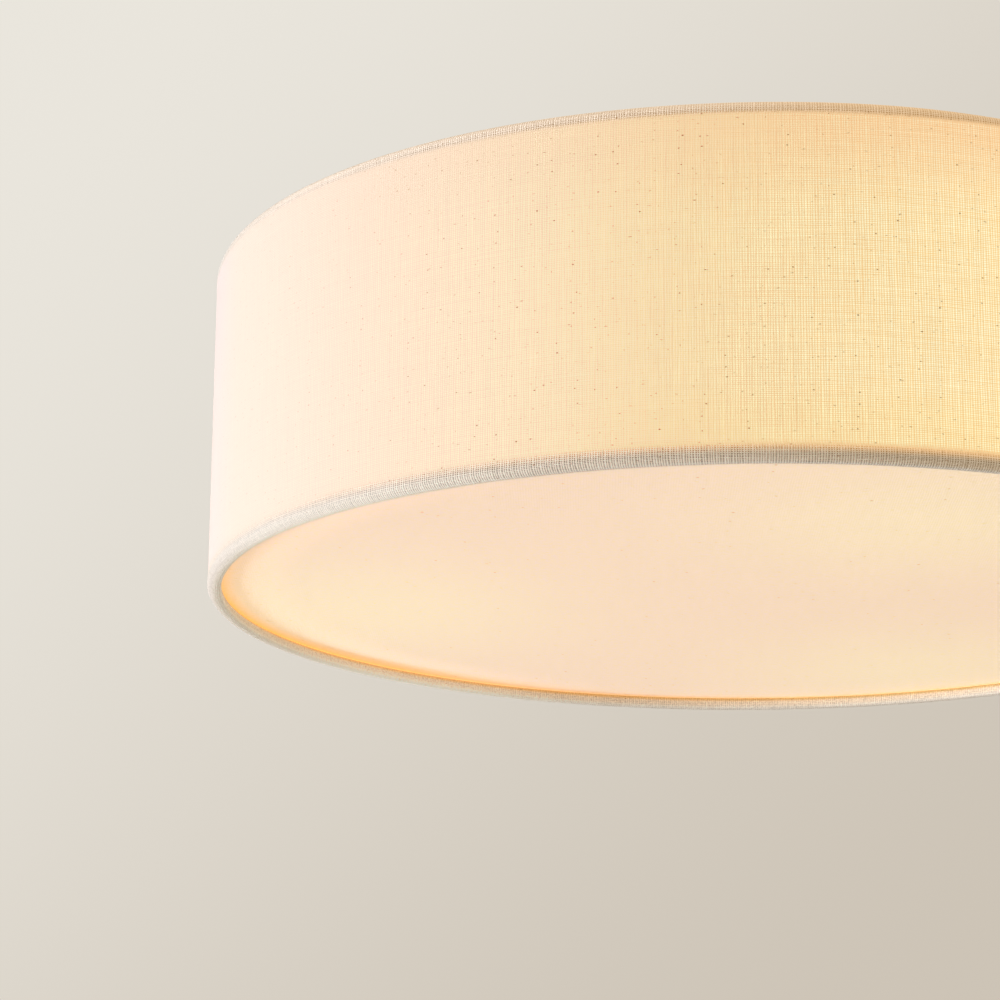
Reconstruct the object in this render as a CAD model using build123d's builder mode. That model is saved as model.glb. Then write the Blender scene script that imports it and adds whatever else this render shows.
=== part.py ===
"""Flush drum ceiling light: fabric shade, cloth diffuser, pressed canopy and three E27 lamps.

Millimetres. Z = 0 is the ceiling, the light hangs below it and +Z points up.
Every lamp, arm and screw is drawn on the +X side and then turned about Z to its own azimuth.
"""

from build123d import *
from math import sqrt
import os

os.makedirs("parts", exist_ok=True)

# ---- Driving sizes -------------------------------------------------------------------------

# Shade
shade_diameter = 500.0
shade_height = 150.0
shade_ceiling_gap = 10.0
cloth_thickness = 0.6
liner_thickness = 0.4
ring_wire_diameter = 3.5
hem_slack = 0.6  # air between a ring's wire and the cloth rolled round it
ring_liner_gap = 0.4
liner_edge_gap = 0.3  # from the end of a hem's outer corner to the liner's cut edge

# Diffuser
diffuser_sheet_thickness = 1.0
diffuser_liner_gap = 1.5

# Fitter arms, from the top ring in to the canopy
arm_count = 3
arm_width = 14.0
arm_thickness = 2.0
arm_bend_outer = 205.0
arm_bend_inner = 172.0
arm_bend_radius = 8.0
arm_end_margin = 8.0
screw_circle_radius = 125.0

# Canopy
canopy_diameter = 300.0
canopy_floor_diameter = 292.0
canopy_depth = 28.0
canopy_sheet = 1.0
canopy_corner = 6.0
canopy_rim_gap = 0.5

# Ceiling strap
strap_length = 152.0
strap_width = 30.0
strap_thickness = 2.0
strap_step_start = 52.0
strap_step_end = 58.0
strap_step_drop = 4.0
strap_corner = 5.0
ceiling_slot_spacing = 80.0
ceiling_slot_length = 14.0
ceiling_slot_width = 4.5
cable_hole_diameter = 16.0
stud_spacing = 132.0

# Lamps (E27, A60)
lamp_azimuths = (180.0, 60.0, -60.0)
lamp_drop = 70.0  # lamp axis below the ceiling
lamp_reach = 205.0  # far end of the globe from the middle of the light
bulb_diameter = 60.0
bulb_length = 108.0
cap_diameter = 26.2
cap_length = 27.0
cap_wall = 0.5
cap_cone = 2.6  # length of the cone between the insulator and the thread
cap_cone_step = 2.2  # how much smaller the cone's end is, on the radius
end_contact_diameter = 9.2
end_contact_tip = 6.8  # diameter of its flat face
end_contact_bevel = 0.9
end_contact_thickness = 2.0
insulator_tip_diameter = 11.2
insulator_length = 6.0  # from the end contact's face to the cap
globe_wall = 1.2
housing_top = 60.0  # from the end contact to the seam between housing and globe
housing_neck_diameter = 28.4
housing_wall = 2.0
housing_waist_share = 0.34  # share of the housing's widening that is reached half way along
housing_waist_shift = 2.5
led_board_thickness = 1.6
led_count = 8
led_circle_radius = 15.0
led_size = 3.0
led_height = 0.75

# Lampholders
holder_skirt_diameter = 40.0
holder_wall = 2.2
holder_mouth_depth = 6.0
holder_shoulder = 12.0
holder_shoulder_share = 0.4  # the shoulder's middle point, as shares of its length and rise
holder_rise_share = 0.72
holder_back_diameter = 28.0
holder_back_wall = 5.0
contact_room = 6.0  # depth behind the bulb for the spring contact
screw_shell_wall = 0.5
screw_shell_length = 19.0
contact_strip = 0.5
contact_strip_bend = 1.5
contact_width = 6.0
nipple_diameter = 10.0
nipple_bore = 7.0
nipple_grip = 4.0  # how far the nipple goes into the lampholder
nipple_tail = 8.0  # how far it stands out behind the bracket
nipple_nut_flats = 14.0
nipple_nut_height = 3.0

# Lampholder brackets
bracket_width = 34.0
bracket_thickness = 1.5
bracket_foot = 28.0
bracket_bend = 3.0
bracket_round = 12.0
rivet_diameter = 3.2
rivet_head_diameter = 6.4
rivet_head_height = 1.0
rivet_spacing = 20.0

# Screws and nuts
thread_diameter = 4.0
thumb_head_diameter = 13.0
thumb_head_height = 9.0
knurl_count = 16
knurl_depth = 0.5
screw_tip = 1.4  # thread left over past its nut
nut_flats = 7.0
nut_height = 3.2
washer_diameter = 9.0
washer_thickness = 0.8
pan_head_diameter = 8.0
pan_head_height = 2.3
pan_head_round = 0.75
cap_nut_height = 8.0
cap_nut_wall = 1.0
cap_nut_tip = 0.4  # radius left flat at the end of the dome
block_screw_diameter = 3.0
block_screw_head_diameter = 5.4
block_screw_head_height = 1.6

# Wiring
grommet_bore = 5.6
grommet_wall = 1.8
grommet_lip = 1.5
grommet_circle_radius = 56.0
lead_diameter = 3.6
lead_height = 12.5  # lead's middle above the underside of the canopy, where it turns flat
lead_bends = (10.0, 8.0, 9.0, 8.0)  # from the lampholder to the block
lead_middles = ((-14.0, 5.0), (10.0, 37.0), (10.0, -37.0))  # where each lead passes, in plan
lead_fall = 1.0  # how far a lead sinks from its bush to that point
lead_turn_x = 8.0  # where the leads turn towards the block
wire_short = 1.0  # a wire stops this short of the end of its hole
block_length = 36.0
block_width = 18.0
block_height = 9.0
block_corner = 2.0
block_tower_height = 5.0
block_tower_length = 9.0
block_tower_inset = 1.0
block_tower_corner = 1.5
block_near_face = 28.0  # from the middle of the light to the block's near face
pole_pitch = 12.0
pole_count = 3
terminal_bore = 4.2
terminal_bore_depth = 7.0
terminal_bore_height = 5.0
terminal_screw_diameter = 3.4
terminal_screw_length = 5.0
terminal_well_depth = 7.0
earth_lead_diameter = 2.2
earth_lead_bends = (5.0, 4.0)
earth_lead_turn = 6.0  # from the turn of the wire to the line of its screw
earth_lead_run = 8.0  # how far the turn reaches along X
earth_lead_rise = 1.0
earth_screw_x = 62.0
earth_screw_y = -36.0
earth_tag_diameter = 11.0
earth_tag_thickness = 0.8

# Clearances
running_gap = 0.05  # a screw in its thread
hole_gap = 0.3  # a screw through a plain hole, or a plug in a socket
rest_gap = 0.3  # between two pieces that rest on each other and can part
seat_gap = 0.05  # between two pieces that stay together
glue_line = 0.02

# ---- Worked out from the sizes -------------------------------------------------------------

shade_radius = shade_diameter / 2
shade_top = -shade_ceiling_gap
shade_bottom = shade_top - shade_height
wire_radius = ring_wire_diameter / 2
liner_outer = shade_radius - cloth_thickness - glue_line
liner_inner = liner_outer - liner_thickness
ring_radius = liner_inner - ring_liner_gap - wire_radius
hem_inner = ring_radius - wire_radius - hem_slack - cloth_thickness
hem_height = ring_wire_diameter + 2 * (hem_slack + cloth_thickness)
hem_bend = (hem_height - cloth_thickness) / 2 - seat_gap
hem_corner = shade_radius - cloth_thickness / 2 - ring_radius  # the rounding under the wire
top_ring_z = shade_top - hem_height / 2
bottom_ring_z = shade_bottom + hem_height / 2

diffuser_radius = liner_inner - diffuser_liner_gap
diffuser_bottom = shade_bottom + hem_height + rest_gap

canopy_radius = canopy_diameter / 2
canopy_underside = -canopy_depth
canopy_floor = canopy_underside + canopy_sheet
thread_radius = thread_diameter / 2
arm_azimuths = [360 / arm_count * step for step in range(arm_count)]
arm_top_outer = top_ring_z - wire_radius - glue_line
arm_top_inner = canopy_underside - rest_gap
arm_outer_end = ring_radius + wire_radius / 2
arm_inner_end = screw_circle_radius - arm_end_margin
washer_top = arm_top_inner - arm_thickness - seat_gap
thumb_head_top = washer_top - washer_thickness - rest_gap

lamp_z = -lamp_drop
bulb_radius = bulb_diameter / 2
bulb_back = lamp_reach - bulb_length
bulb_centre = lamp_reach - bulb_radius
housing_top_x = bulb_back + housing_top
cap_radius = cap_diameter / 2
cap_end = bulb_back + cap_length
cap_cone_radius = cap_radius - cap_cone_step
contact_back = bulb_back + end_contact_thickness
insulator_start = contact_back + rest_gap
insulator_end = bulb_back + insulator_length
cap_start = insulator_end + seat_gap
housing_neck_radius = housing_neck_diameter / 2
globe_seam_radius = sqrt(bulb_radius**2 - (bulb_centre - housing_top_x) ** 2)

holder_floor = bulb_back - contact_room
holder_back = holder_floor - holder_back_wall
holder_mouth = cap_end + holder_mouth_depth
holder_skirt_radius = holder_skirt_diameter / 2
screw_shell_inner = cap_radius + hole_gap
screw_shell_outer = screw_shell_inner + screw_shell_wall
screw_shell_start = cap_end - screw_shell_length
holder_bore = screw_shell_outer + seat_gap
nipple_radius = nipple_diameter / 2
bracket_face = holder_back - seat_gap
bracket_back = bracket_face - bracket_thickness
bracket_foot_top = canopy_underside - seat_gap
rivet_x = bracket_face + bracket_foot / 2

lead_radius = lead_diameter / 2
grommet_groove_radius = grommet_bore / 2 + grommet_wall
lead_turn_z = canopy_underside + lead_height
block_top = canopy_floor + seat_gap + block_height
terminal_z = canopy_floor + seat_gap + terminal_bore_height
terminal_bore_radius = terminal_bore / 2
block_middle_x = block_near_face + block_width / 2
earth_tag_z = canopy_floor + seat_gap
earth_tag_top = earth_tag_z + earth_tag_thickness

# A section through a lamp: x runs out along the lamp, y is the distance from its axis.
lamp_plane = Plane(origin=(0, 0, lamp_z), x_dir=(1, 0, 0), z_dir=(0, -1, 0))
lamp_axis = Axis((0, 0, lamp_z), (1, 0, 0))


def write(piece, name):
    """Labels a piece and writes it under its own name."""
    piece.label = name
    export_step(piece, f"parts/{name}.step")


def write_around(piece, name, azimuths):
    """Writes one copy of a piece for each azimuth, numbered from 1."""
    for number, azimuth in enumerate(azimuths, start=1):
        write(piece.rotate(Axis.Z, azimuth), f"{name}_{number}")


def write_group(piece, name, azimuths):
    """Writes the copies of a small fastener together, as separate solids of one node."""
    solids = [solid for azimuth in azimuths for solid in piece.rotate(Axis.Z, azimuth).solids()]
    write(Compound(children=solids), name)


# ---- Shade ---------------------------------------------------------------------------------

# One strip of cloth: up the wall, with both edges rolled round the wire rings and tucked in.
with BuildPart() as shade_cloth:
    wall_middle = shade_radius - cloth_thickness / 2
    roll_middle = hem_inner + cloth_thickness / 2
    tuck_end = liner_inner - seat_gap
    low_fold = shade_bottom + cloth_thickness / 2
    low_tuck = shade_bottom + hem_height - cloth_thickness / 2
    high_fold = shade_top - cloth_thickness / 2
    high_tuck = shade_top - hem_height + cloth_thickness / 2
    with BuildSketch(Plane.XZ) as cloth_section:
        with BuildLine() as cloth_middle:
            FilletPolyline(
                (tuck_end, low_tuck),
                (roll_middle, low_tuck),
                (roll_middle, low_fold),
                (wall_middle, low_fold),
                (wall_middle, high_fold),
                (roll_middle, high_fold),
                (roll_middle, high_tuck),
                (tuck_end, high_tuck),
                radius=[hem_bend, hem_bend, hem_corner, hem_corner, hem_bend, hem_bend],
            )
        trace(line_width=cloth_thickness)
    revolve(axis=Axis.Z)
    # The top hem is notched where each arm reaches the ring inside it.
    notch_start = hem_inner - hole_gap
    notch_length = liner_inner - notch_start
    with PolarLocations(notch_start + notch_length / 2, arm_count):
        with Locations((0, 0, arm_top_outer - arm_thickness / 2)):
            Box(
                notch_length,
                arm_width + 2 * hole_gap,
                arm_thickness + 2 * hole_gap,
                mode=Mode.SUBTRACT,
            )
write(shade_cloth.part, "shade_cloth")

with BuildPart() as shade_liner:
    liner_margin = cloth_thickness / 2 + hem_corner + liner_edge_gap
    liner_bottom = shade_bottom + liner_margin
    liner_height = shade_height - 2 * liner_margin
    with BuildSketch(Plane.XY.offset(liner_bottom)):
        Circle(liner_outer)
        Circle(liner_inner, mode=Mode.SUBTRACT)
    extrude(amount=liner_height)
write(shade_liner.part, "shade_liner")

with BuildPart() as top_ring:
    with BuildSketch(Plane.XZ):
        with Locations((ring_radius, top_ring_z)):
            Circle(wire_radius)
    revolve(axis=Axis.Z)
write(top_ring.part, "top_ring")

with BuildPart() as bottom_ring:
    with BuildSketch(Plane.XZ):
        with Locations((ring_radius, bottom_ring_z)):
            Circle(wire_radius)
    revolve(axis=Axis.Z)
write(bottom_ring.part, "bottom_ring")

# A flat arm welded under the top ring and cranked down to lie under the canopy.
with BuildPart() as fitter_arm:
    with BuildSketch(Plane.XZ) as arm_section:
        with BuildLine():
            FilletPolyline(
                (arm_outer_end, arm_top_outer - arm_thickness / 2),
                (arm_bend_outer, arm_top_outer - arm_thickness / 2),
                (arm_bend_inner, arm_top_inner - arm_thickness / 2),
                (arm_inner_end, arm_top_inner - arm_thickness / 2),
                radius=arm_bend_radius,
            )
        trace(line_width=arm_thickness)
    extrude(amount=arm_width / 2, both=True)
    inner_corners = fitter_arm.edges().filter_by(Axis.Z).group_by(Axis.X)[0]
    fillet(inner_corners, radius=arm_width / 2 - seat_gap)
    with Locations((screw_circle_radius, 0, arm_top_inner)):
        Hole(radius=thread_radius + hole_gap)
write_around(fitter_arm.part, "fitter_arm", arm_azimuths)

with BuildPart() as screw_washer:
    with BuildSketch(Plane.XY.offset(washer_top)):
        with Locations((screw_circle_radius, 0)):
            Circle(washer_diameter / 2)
            Circle(thread_radius + hole_gap, mode=Mode.SUBTRACT)
    extrude(amount=-washer_thickness)
write_group(screw_washer.part, "screw_washers", arm_azimuths)

# Knurled thumb screw, turned by hand from inside the shade.
with BuildPart() as shade_screw:
    head_radius = thumb_head_diameter / 2
    with BuildSketch(Plane.XY.offset(thumb_head_top)):
        with Locations((screw_circle_radius, 0)):
            Circle(head_radius)
            with PolarLocations(head_radius, knurl_count):
                Circle(knurl_depth, mode=Mode.SUBTRACT)
    extrude(amount=-thumb_head_height)
    shank_top = canopy_floor + nut_height + screw_tip
    with BuildSketch(Plane.XY.offset(thumb_head_top)):
        with Locations((screw_circle_radius, 0)):
            Circle(thread_radius)
    extrude(amount=shank_top - thumb_head_top)
write_around(shade_screw.part, "shade_screw", arm_azimuths)

# ---- Diffuser ------------------------------------------------------------------------------

with BuildPart() as diffuser_cloth:
    with BuildSketch(Plane.XY.offset(diffuser_bottom)):
        Circle(diffuser_radius)
    extrude(amount=cloth_thickness)
write(diffuser_cloth.part, "diffuser_cloth")

with BuildPart() as diffuser_sheet:
    with BuildSketch(Plane.XY.offset(diffuser_bottom + cloth_thickness + glue_line)):
        Circle(diffuser_radius)
    extrude(amount=diffuser_sheet_thickness)
write(diffuser_sheet.part, "diffuser_sheet")

# ---- Canopy and ceiling strap --------------------------------------------------------------

# Positions of the two studs and the two screws of the terminal block.
stud_places = [(0, stud_spacing / 2), (0, -stud_spacing / 2)]
block_screw_places = [(block_middle_x, pole_pitch / 2), (block_middle_x, -pole_pitch / 2)]

with BuildPart() as canopy:
    pan_height = canopy_depth - canopy_rim_gap
    with BuildSketch(Plane.XY.offset(canopy_underside)):
        Circle(canopy_floor_diameter / 2)
    with BuildSketch(Plane.XY.offset(canopy_underside + pan_height)):
        Circle(canopy_radius)
    loft()
    fillet(canopy.edges().sort_by(Axis.Z)[0], radius=canopy_corner)
    offset(amount=-canopy_sheet, openings=canopy.faces().sort_by(Axis.Z)[-1])
    with BuildSketch(Plane.XY.offset(canopy_underside)) as canopy_holes:
        with PolarLocations(screw_circle_radius, arm_count):
            Circle(thread_radius + hole_gap)
        with Locations(*stud_places, (earth_screw_x, earth_screw_y)):
            Circle(thread_radius + hole_gap)
        with Locations(*block_screw_places):
            Circle(block_screw_diameter / 2 + running_gap)
        for azimuth in lamp_azimuths:
            lamp_direction = Location((0, 0, 0), (0, 0, azimuth))
            with Locations(lamp_direction * Pos(grommet_circle_radius, 0)):
                Circle(grommet_groove_radius + seat_gap)
            with Locations(
                lamp_direction * Pos(rivet_x, rivet_spacing / 2),
                lamp_direction * Pos(rivet_x, -rivet_spacing / 2),
            ):
                Circle(rivet_diameter / 2 + seat_gap)
    extrude(amount=canopy_sheet, mode=Mode.SUBTRACT)
write(canopy.part, "canopy")

# Steel strap with slots for the ceiling screws. Its ends step down to make room for stud heads.
with BuildPart() as ceiling_strap:
    half_length = strap_length / 2
    with BuildSketch(Plane.YZ) as strap_section:
        with BuildLine():
            Polyline(
                (-half_length, -strap_step_drop),
                (-strap_step_end, -strap_step_drop),
                (-strap_step_start, 0),
                (strap_step_start, 0),
                (strap_step_end, -strap_step_drop),
                (half_length, -strap_step_drop),
                (half_length, -strap_step_drop - strap_thickness),
                (strap_step_end, -strap_step_drop - strap_thickness),
                (strap_step_start, -strap_thickness),
                (-strap_step_start, -strap_thickness),
                (-strap_step_end, -strap_step_drop - strap_thickness),
                (-half_length, -strap_step_drop - strap_thickness),
                close=True,
            )
        make_face()
    extrude(amount=strap_width / 2, both=True)
    end_corners = ceiling_strap.edges().filter_by(Axis.Z).group_by(Axis.Y)
    fillet(end_corners[0] + end_corners[-1], radius=strap_corner)
    with BuildSketch(Plane.XY):
        Circle(cable_hole_diameter / 2)
        with Locations((0, ceiling_slot_spacing / 2), (0, -ceiling_slot_spacing / 2)):
            SlotOverall(ceiling_slot_length, ceiling_slot_width, rotation=90)
        with Locations(*stud_places):
            Circle(thread_radius + hole_gap)
    extrude(amount=-strap_step_drop - strap_thickness, mode=Mode.SUBTRACT)
write(ceiling_strap.part, "ceiling_strap")

with BuildPart() as canopy_studs:
    stud_head_seat = -strap_step_drop + seat_gap
    stud_end = canopy_underside - cap_nut_height + cap_nut_wall + 2 * seat_gap
    with BuildSketch(Plane.XY.offset(stud_head_seat)):
        with Locations(*stud_places):
            Circle(pan_head_diameter / 2)
    extrude(amount=pan_head_height)
    fillet(canopy_studs.edges().group_by(Axis.Z)[-1], radius=pan_head_round)
    with BuildSketch(Plane.XY.offset(stud_head_seat)):
        with Locations(*stud_places):
            Circle(thread_radius)
    extrude(amount=stud_end - stud_head_seat)
write(canopy_studs.part, "canopy_studs")

# Plain hex nuts: three welded to the canopy for the shade's screws, two that lock the studs.
with BuildPart() as hex_nuts:
    shade_nut_places = [
        (Location((0, 0, 0), (0, 0, azimuth)) * Pos(screw_circle_radius, 0)).position
        for azimuth in arm_azimuths
    ]
    with BuildSketch(Plane.XY.offset(canopy_floor + seat_gap)):
        with Locations(*shade_nut_places):
            RegularPolygon(nut_flats / 2, 6, major_radius=False)
            Circle(thread_radius + running_gap, mode=Mode.SUBTRACT)
    extrude(amount=nut_height)
    with BuildSketch(Plane.XY.offset(-strap_step_drop - strap_thickness - seat_gap)):
        with Locations(*stud_places):
            RegularPolygon(nut_flats / 2, 6, major_radius=False)
            Circle(thread_radius + running_gap, mode=Mode.SUBTRACT)
    extrude(amount=-nut_height)
write(hex_nuts.part, "hex_nuts")

# Domed nuts under the canopy, which the householder turns to take it down.
with BuildPart() as cap_nuts:
    cap_nut_top = canopy_underside - seat_gap
    with BuildSketch(Plane.XY.offset(cap_nut_top)):
        with Locations(*stud_places):
            RegularPolygon(nut_flats / 2, 6, major_radius=False)
    extrude(amount=-nut_height)
    with BuildSketch(Plane.XY.offset(cap_nut_top - nut_height)):
        with Locations(*stud_places):
            Circle(nut_flats / 2 - seat_gap)
    extrude(amount=nut_height - cap_nut_height)
    dome_round = nut_flats / 2 - seat_gap - cap_nut_tip
    fillet(cap_nuts.edges().group_by(Axis.Z)[0], radius=dome_round)
    with BuildSketch(Plane.XY.offset(cap_nut_top)):
        with Locations(*stud_places):
            Circle(thread_radius + running_gap)
    extrude(amount=cap_nut_wall - cap_nut_height, mode=Mode.SUBTRACT)
write(cap_nuts.part, "cap_nuts")

# ---- Lampholders and their brackets --------------------------------------------------------

with BuildPart() as lampholder_bracket:
    plate_middle = bracket_face - bracket_thickness / 2
    plate_bottom = lamp_z - bracket_width / 2
    foot_middle = bracket_foot_top - bracket_thickness / 2
    with BuildSketch(Plane.XZ) as bracket_section:
        with BuildLine():
            FilletPolyline(
                (plate_middle, plate_bottom),
                (plate_middle, foot_middle),
                (bracket_face + bracket_foot, foot_middle),
                radius=bracket_bend,
            )
        trace(line_width=bracket_thickness)
    extrude(amount=bracket_width / 2, both=True)
    fillet(lampholder_bracket.edges().filter_by(Axis.X).group_by(Axis.Z)[0], radius=bracket_round)
    fillet(lampholder_bracket.edges().filter_by(Axis.Z).group_by(Axis.X)[-1], radius=bracket_bend)
    with BuildSketch(Plane.YZ.offset(bracket_back)):
        with Locations((0, lamp_z)):
            Circle(nipple_radius + hole_gap)
    extrude(amount=bracket_thickness, mode=Mode.SUBTRACT)
    with BuildSketch(Plane.XY.offset(bracket_foot_top)):
        with Locations((rivet_x, rivet_spacing / 2), (rivet_x, -rivet_spacing / 2)):
            Circle(rivet_diameter / 2 + seat_gap)
    extrude(amount=-bracket_thickness, mode=Mode.SUBTRACT)
write_around(lampholder_bracket.part, "lampholder_bracket", lamp_azimuths)

with BuildPart() as bracket_rivet:
    rivet_places = [(rivet_x, rivet_spacing / 2), (rivet_x, -rivet_spacing / 2)]
    rivet_low = bracket_foot_top - bracket_thickness - seat_gap
    rivet_high = canopy_floor + seat_gap
    with BuildSketch(Plane.XY.offset(rivet_low)):
        with Locations(*rivet_places):
            Circle(rivet_head_diameter / 2)
    extrude(amount=-rivet_head_height)
    with BuildSketch(Plane.XY.offset(rivet_high)):
        with Locations(*rivet_places):
            Circle(rivet_head_diameter / 2 - rivet_head_height / 2)
    extrude(amount=rivet_head_height)
    with BuildSketch(Plane.XY.offset(rivet_low)):
        with Locations(*rivet_places):
            Circle(rivet_diameter / 2)
    extrude(amount=rivet_high - rivet_low)
write_group(bracket_rivet.part, "bracket_rivets", lamp_azimuths)

# A plain-skirt lampholder: a rounded back, a bore that carries the screw shell, an open skirt.
with BuildPart() as lampholder:
    back_radius = holder_back_diameter / 2
    shoulder_x = holder_back + holder_shoulder
    with BuildSketch(lamp_plane) as holder_section:
        with BuildLine():
            Line((holder_back, nipple_radius + running_gap), (holder_back, back_radius))
            ThreePointArc(
                (holder_back, back_radius),
                (
                    holder_back + holder_shoulder * holder_shoulder_share,
                    back_radius + (holder_skirt_radius - back_radius) * holder_rise_share,
                ),
                (shoulder_x, holder_skirt_radius),
            )
            Polyline(
                (shoulder_x, holder_skirt_radius),
                (holder_mouth, holder_skirt_radius),
                (holder_mouth, holder_skirt_radius - holder_wall),
                (cap_end, holder_skirt_radius - holder_wall),
                (cap_end, holder_bore),
                (holder_floor, holder_bore),
                (holder_floor, nipple_radius + running_gap),
                (holder_back, nipple_radius + running_gap),
            )
        make_face()
    revolve(axis=lamp_axis)
write_around(lampholder.part, "lampholder", lamp_azimuths)

# The screw shell that the bulb's cap turns into, turned in at its inner end.
with BuildPart() as screw_shell:
    with BuildSketch(lamp_plane):
        with BuildLine():
            Polyline(
                (screw_shell_start, screw_shell_outer),
                (cap_end, screw_shell_outer),
                (cap_end, screw_shell_inner),
                (screw_shell_start, screw_shell_inner),
                close=True,
            )
        make_face()
    revolve(axis=lamp_axis)
write_around(screw_shell.part, "screw_shell", lamp_azimuths)

# A bent strip of brass that springs against the end of the bulb.
with BuildPart() as spring_contact:
    strip_foot = holder_floor + seat_gap + contact_strip / 2
    strip_face = bulb_back - rest_gap - contact_strip / 2
    with BuildSketch(lamp_plane):
        with BuildLine():
            FilletPolyline(
                (strip_foot, holder_bore - 2 * contact_strip),
                (strip_foot, nipple_radius + contact_strip),
                (strip_face, contact_strip),
                (strip_face, -contact_width / 2),
                radius=contact_strip_bend,
            )
        trace(line_width=contact_strip)
    extrude(amount=contact_width / 2, both=True)
write_around(spring_contact.part, "spring_contact", lamp_azimuths)

with BuildPart() as holder_nipple:
    nipple_end = holder_back + nipple_grip
    nipple_start = bracket_back - nipple_tail
    with BuildSketch(Plane.YZ.offset(nipple_start)):
        with Locations((0, lamp_z)):
            Circle(nipple_radius)
            Circle(nipple_bore / 2, mode=Mode.SUBTRACT)
    extrude(amount=nipple_end - nipple_start)
write_group(holder_nipple.part, "holder_nipples", lamp_azimuths)

with BuildPart() as holder_nut:
    with BuildSketch(Plane.YZ.offset(bracket_back - seat_gap)):
        with Locations((0, lamp_z)):
            RegularPolygon(nipple_nut_flats / 2, 6, major_radius=False)
            Circle(nipple_radius + running_gap, mode=Mode.SUBTRACT)
    extrude(amount=-nipple_nut_height)
write_group(holder_nut.part, "holder_nuts", lamp_azimuths)

# ---- Bulbs ---------------------------------------------------------------------------------

# The end contact, which moves out with the bulb and is round about its axis.
with BuildPart() as bulb_contact:
    tip_radius = end_contact_tip / 2
    contact_radius = end_contact_diameter / 2
    with BuildSketch(lamp_plane):
        with BuildLine():
            Polyline(
                (bulb_back, 0),
                (bulb_back, tip_radius),
                (bulb_back + end_contact_bevel, contact_radius),
                (contact_back, contact_radius),
                (contact_back, 0),
                close=True,
            )
        make_face()
    revolve(axis=lamp_axis)
write_around(bulb_contact.part, "bulb_contact", lamp_azimuths)

with BuildPart() as bulb_insulator:
    with BuildSketch(lamp_plane):
        with BuildLine():
            Polyline(
                (insulator_start, 0),
                (insulator_start, insulator_tip_diameter / 2),
                (insulator_end, cap_cone_radius),
                (insulator_end, 0),
                close=True,
            )
        make_face()
    revolve(axis=lamp_axis)
write_around(bulb_insulator.part, "bulb_insulator", lamp_azimuths)

# The screw cap is a thin metal shell on the neck of the housing.
with BuildPart() as bulb_cap:
    with BuildSketch(lamp_plane):
        with BuildLine():
            Polyline(
                (cap_start, 0),
                (cap_start, cap_cone_radius),
                (cap_start + cap_cone, cap_radius),
                (cap_end, cap_radius),
                (cap_end, cap_radius - cap_wall),
                (cap_start + cap_cone, cap_radius - cap_wall),
                (cap_start + cap_wall, cap_cone_radius - cap_wall),
                (cap_start + cap_wall, 0),
                close=True,
            )
        make_face()
    revolve(axis=lamp_axis)
write_around(bulb_cap.part, "bulb_cap", lamp_azimuths)

# White plastic housing, hollow for the driver and closed by the lamp board.
board_seat = housing_top_x - led_board_thickness - seat_gap
board_radius = globe_seam_radius - globe_wall - housing_wall
with BuildPart() as bulb_housing:
    neck_radius = cap_radius - cap_wall - seat_gap
    neck_start = cap_start + cap_cone + cap_wall
    housing_rise = globe_seam_radius - housing_neck_radius
    waist_radius = housing_neck_radius + housing_rise * housing_waist_share
    with BuildSketch(lamp_plane) as housing_section:
        with BuildLine():
            Polyline(
                (neck_start, 0),
                (neck_start, neck_radius),
                (cap_end + seat_gap, neck_radius),
                (cap_end + seat_gap, housing_neck_radius),
            )
            ThreePointArc(
                (cap_end + seat_gap, housing_neck_radius),
                (
                    (cap_end + housing_top_x) / 2 + housing_waist_shift,
                    waist_radius,
                ),
                (housing_top_x, globe_seam_radius),
            )
            Polyline(
                (housing_top_x, globe_seam_radius),
                (housing_top_x, board_radius + seat_gap),
                (board_seat, board_radius + seat_gap),
                (board_seat, board_radius - housing_wall),
                (cap_end + housing_wall, neck_radius - housing_wall),
                (cap_end + housing_wall, 0),
                (neck_start, 0),
            )
        make_face()
    revolve(axis=lamp_axis)
write_around(bulb_housing.part, "bulb_housing", lamp_azimuths)

with BuildPart() as lamp_board:
    with BuildSketch(Plane.YZ.offset(board_seat + seat_gap)):
        with Locations((0, lamp_z)):
            Circle(board_radius)
    extrude(amount=led_board_thickness)
    with BuildSketch(Plane.YZ.offset(board_seat + seat_gap + led_board_thickness)):
        with Locations((0, lamp_z)):
            with PolarLocations(led_circle_radius, led_count):
                Rectangle(led_size, led_size)
    extrude(amount=led_height)
write_around(lamp_board.part, "lamp_board", lamp_azimuths)

with BuildPart() as bulb_globe:
    globe_start = housing_top_x + seat_gap
    globe_start_radius = sqrt(bulb_radius**2 - (bulb_centre - globe_start) ** 2)
    inner_globe_radius = bulb_radius - globe_wall
    inner_start_radius = sqrt(inner_globe_radius**2 - (bulb_centre - globe_start) ** 2)
    with BuildSketch(lamp_plane) as globe_section:
        with BuildLine():
            ThreePointArc(
                (globe_start, globe_start_radius),
                (bulb_centre, bulb_radius),
                (lamp_reach, 0),
            )
            Line((lamp_reach, 0), (lamp_reach - globe_wall, 0))
            ThreePointArc(
                (lamp_reach - globe_wall, 0),
                (bulb_centre, inner_globe_radius),
                (globe_start, inner_start_radius),
            )
            Line((globe_start, inner_start_radius), (globe_start, globe_start_radius))
        make_face()
    revolve(axis=lamp_axis)
write_around(bulb_globe.part, "bulb_globe", lamp_azimuths)

# ---- Wiring --------------------------------------------------------------------------------

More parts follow.
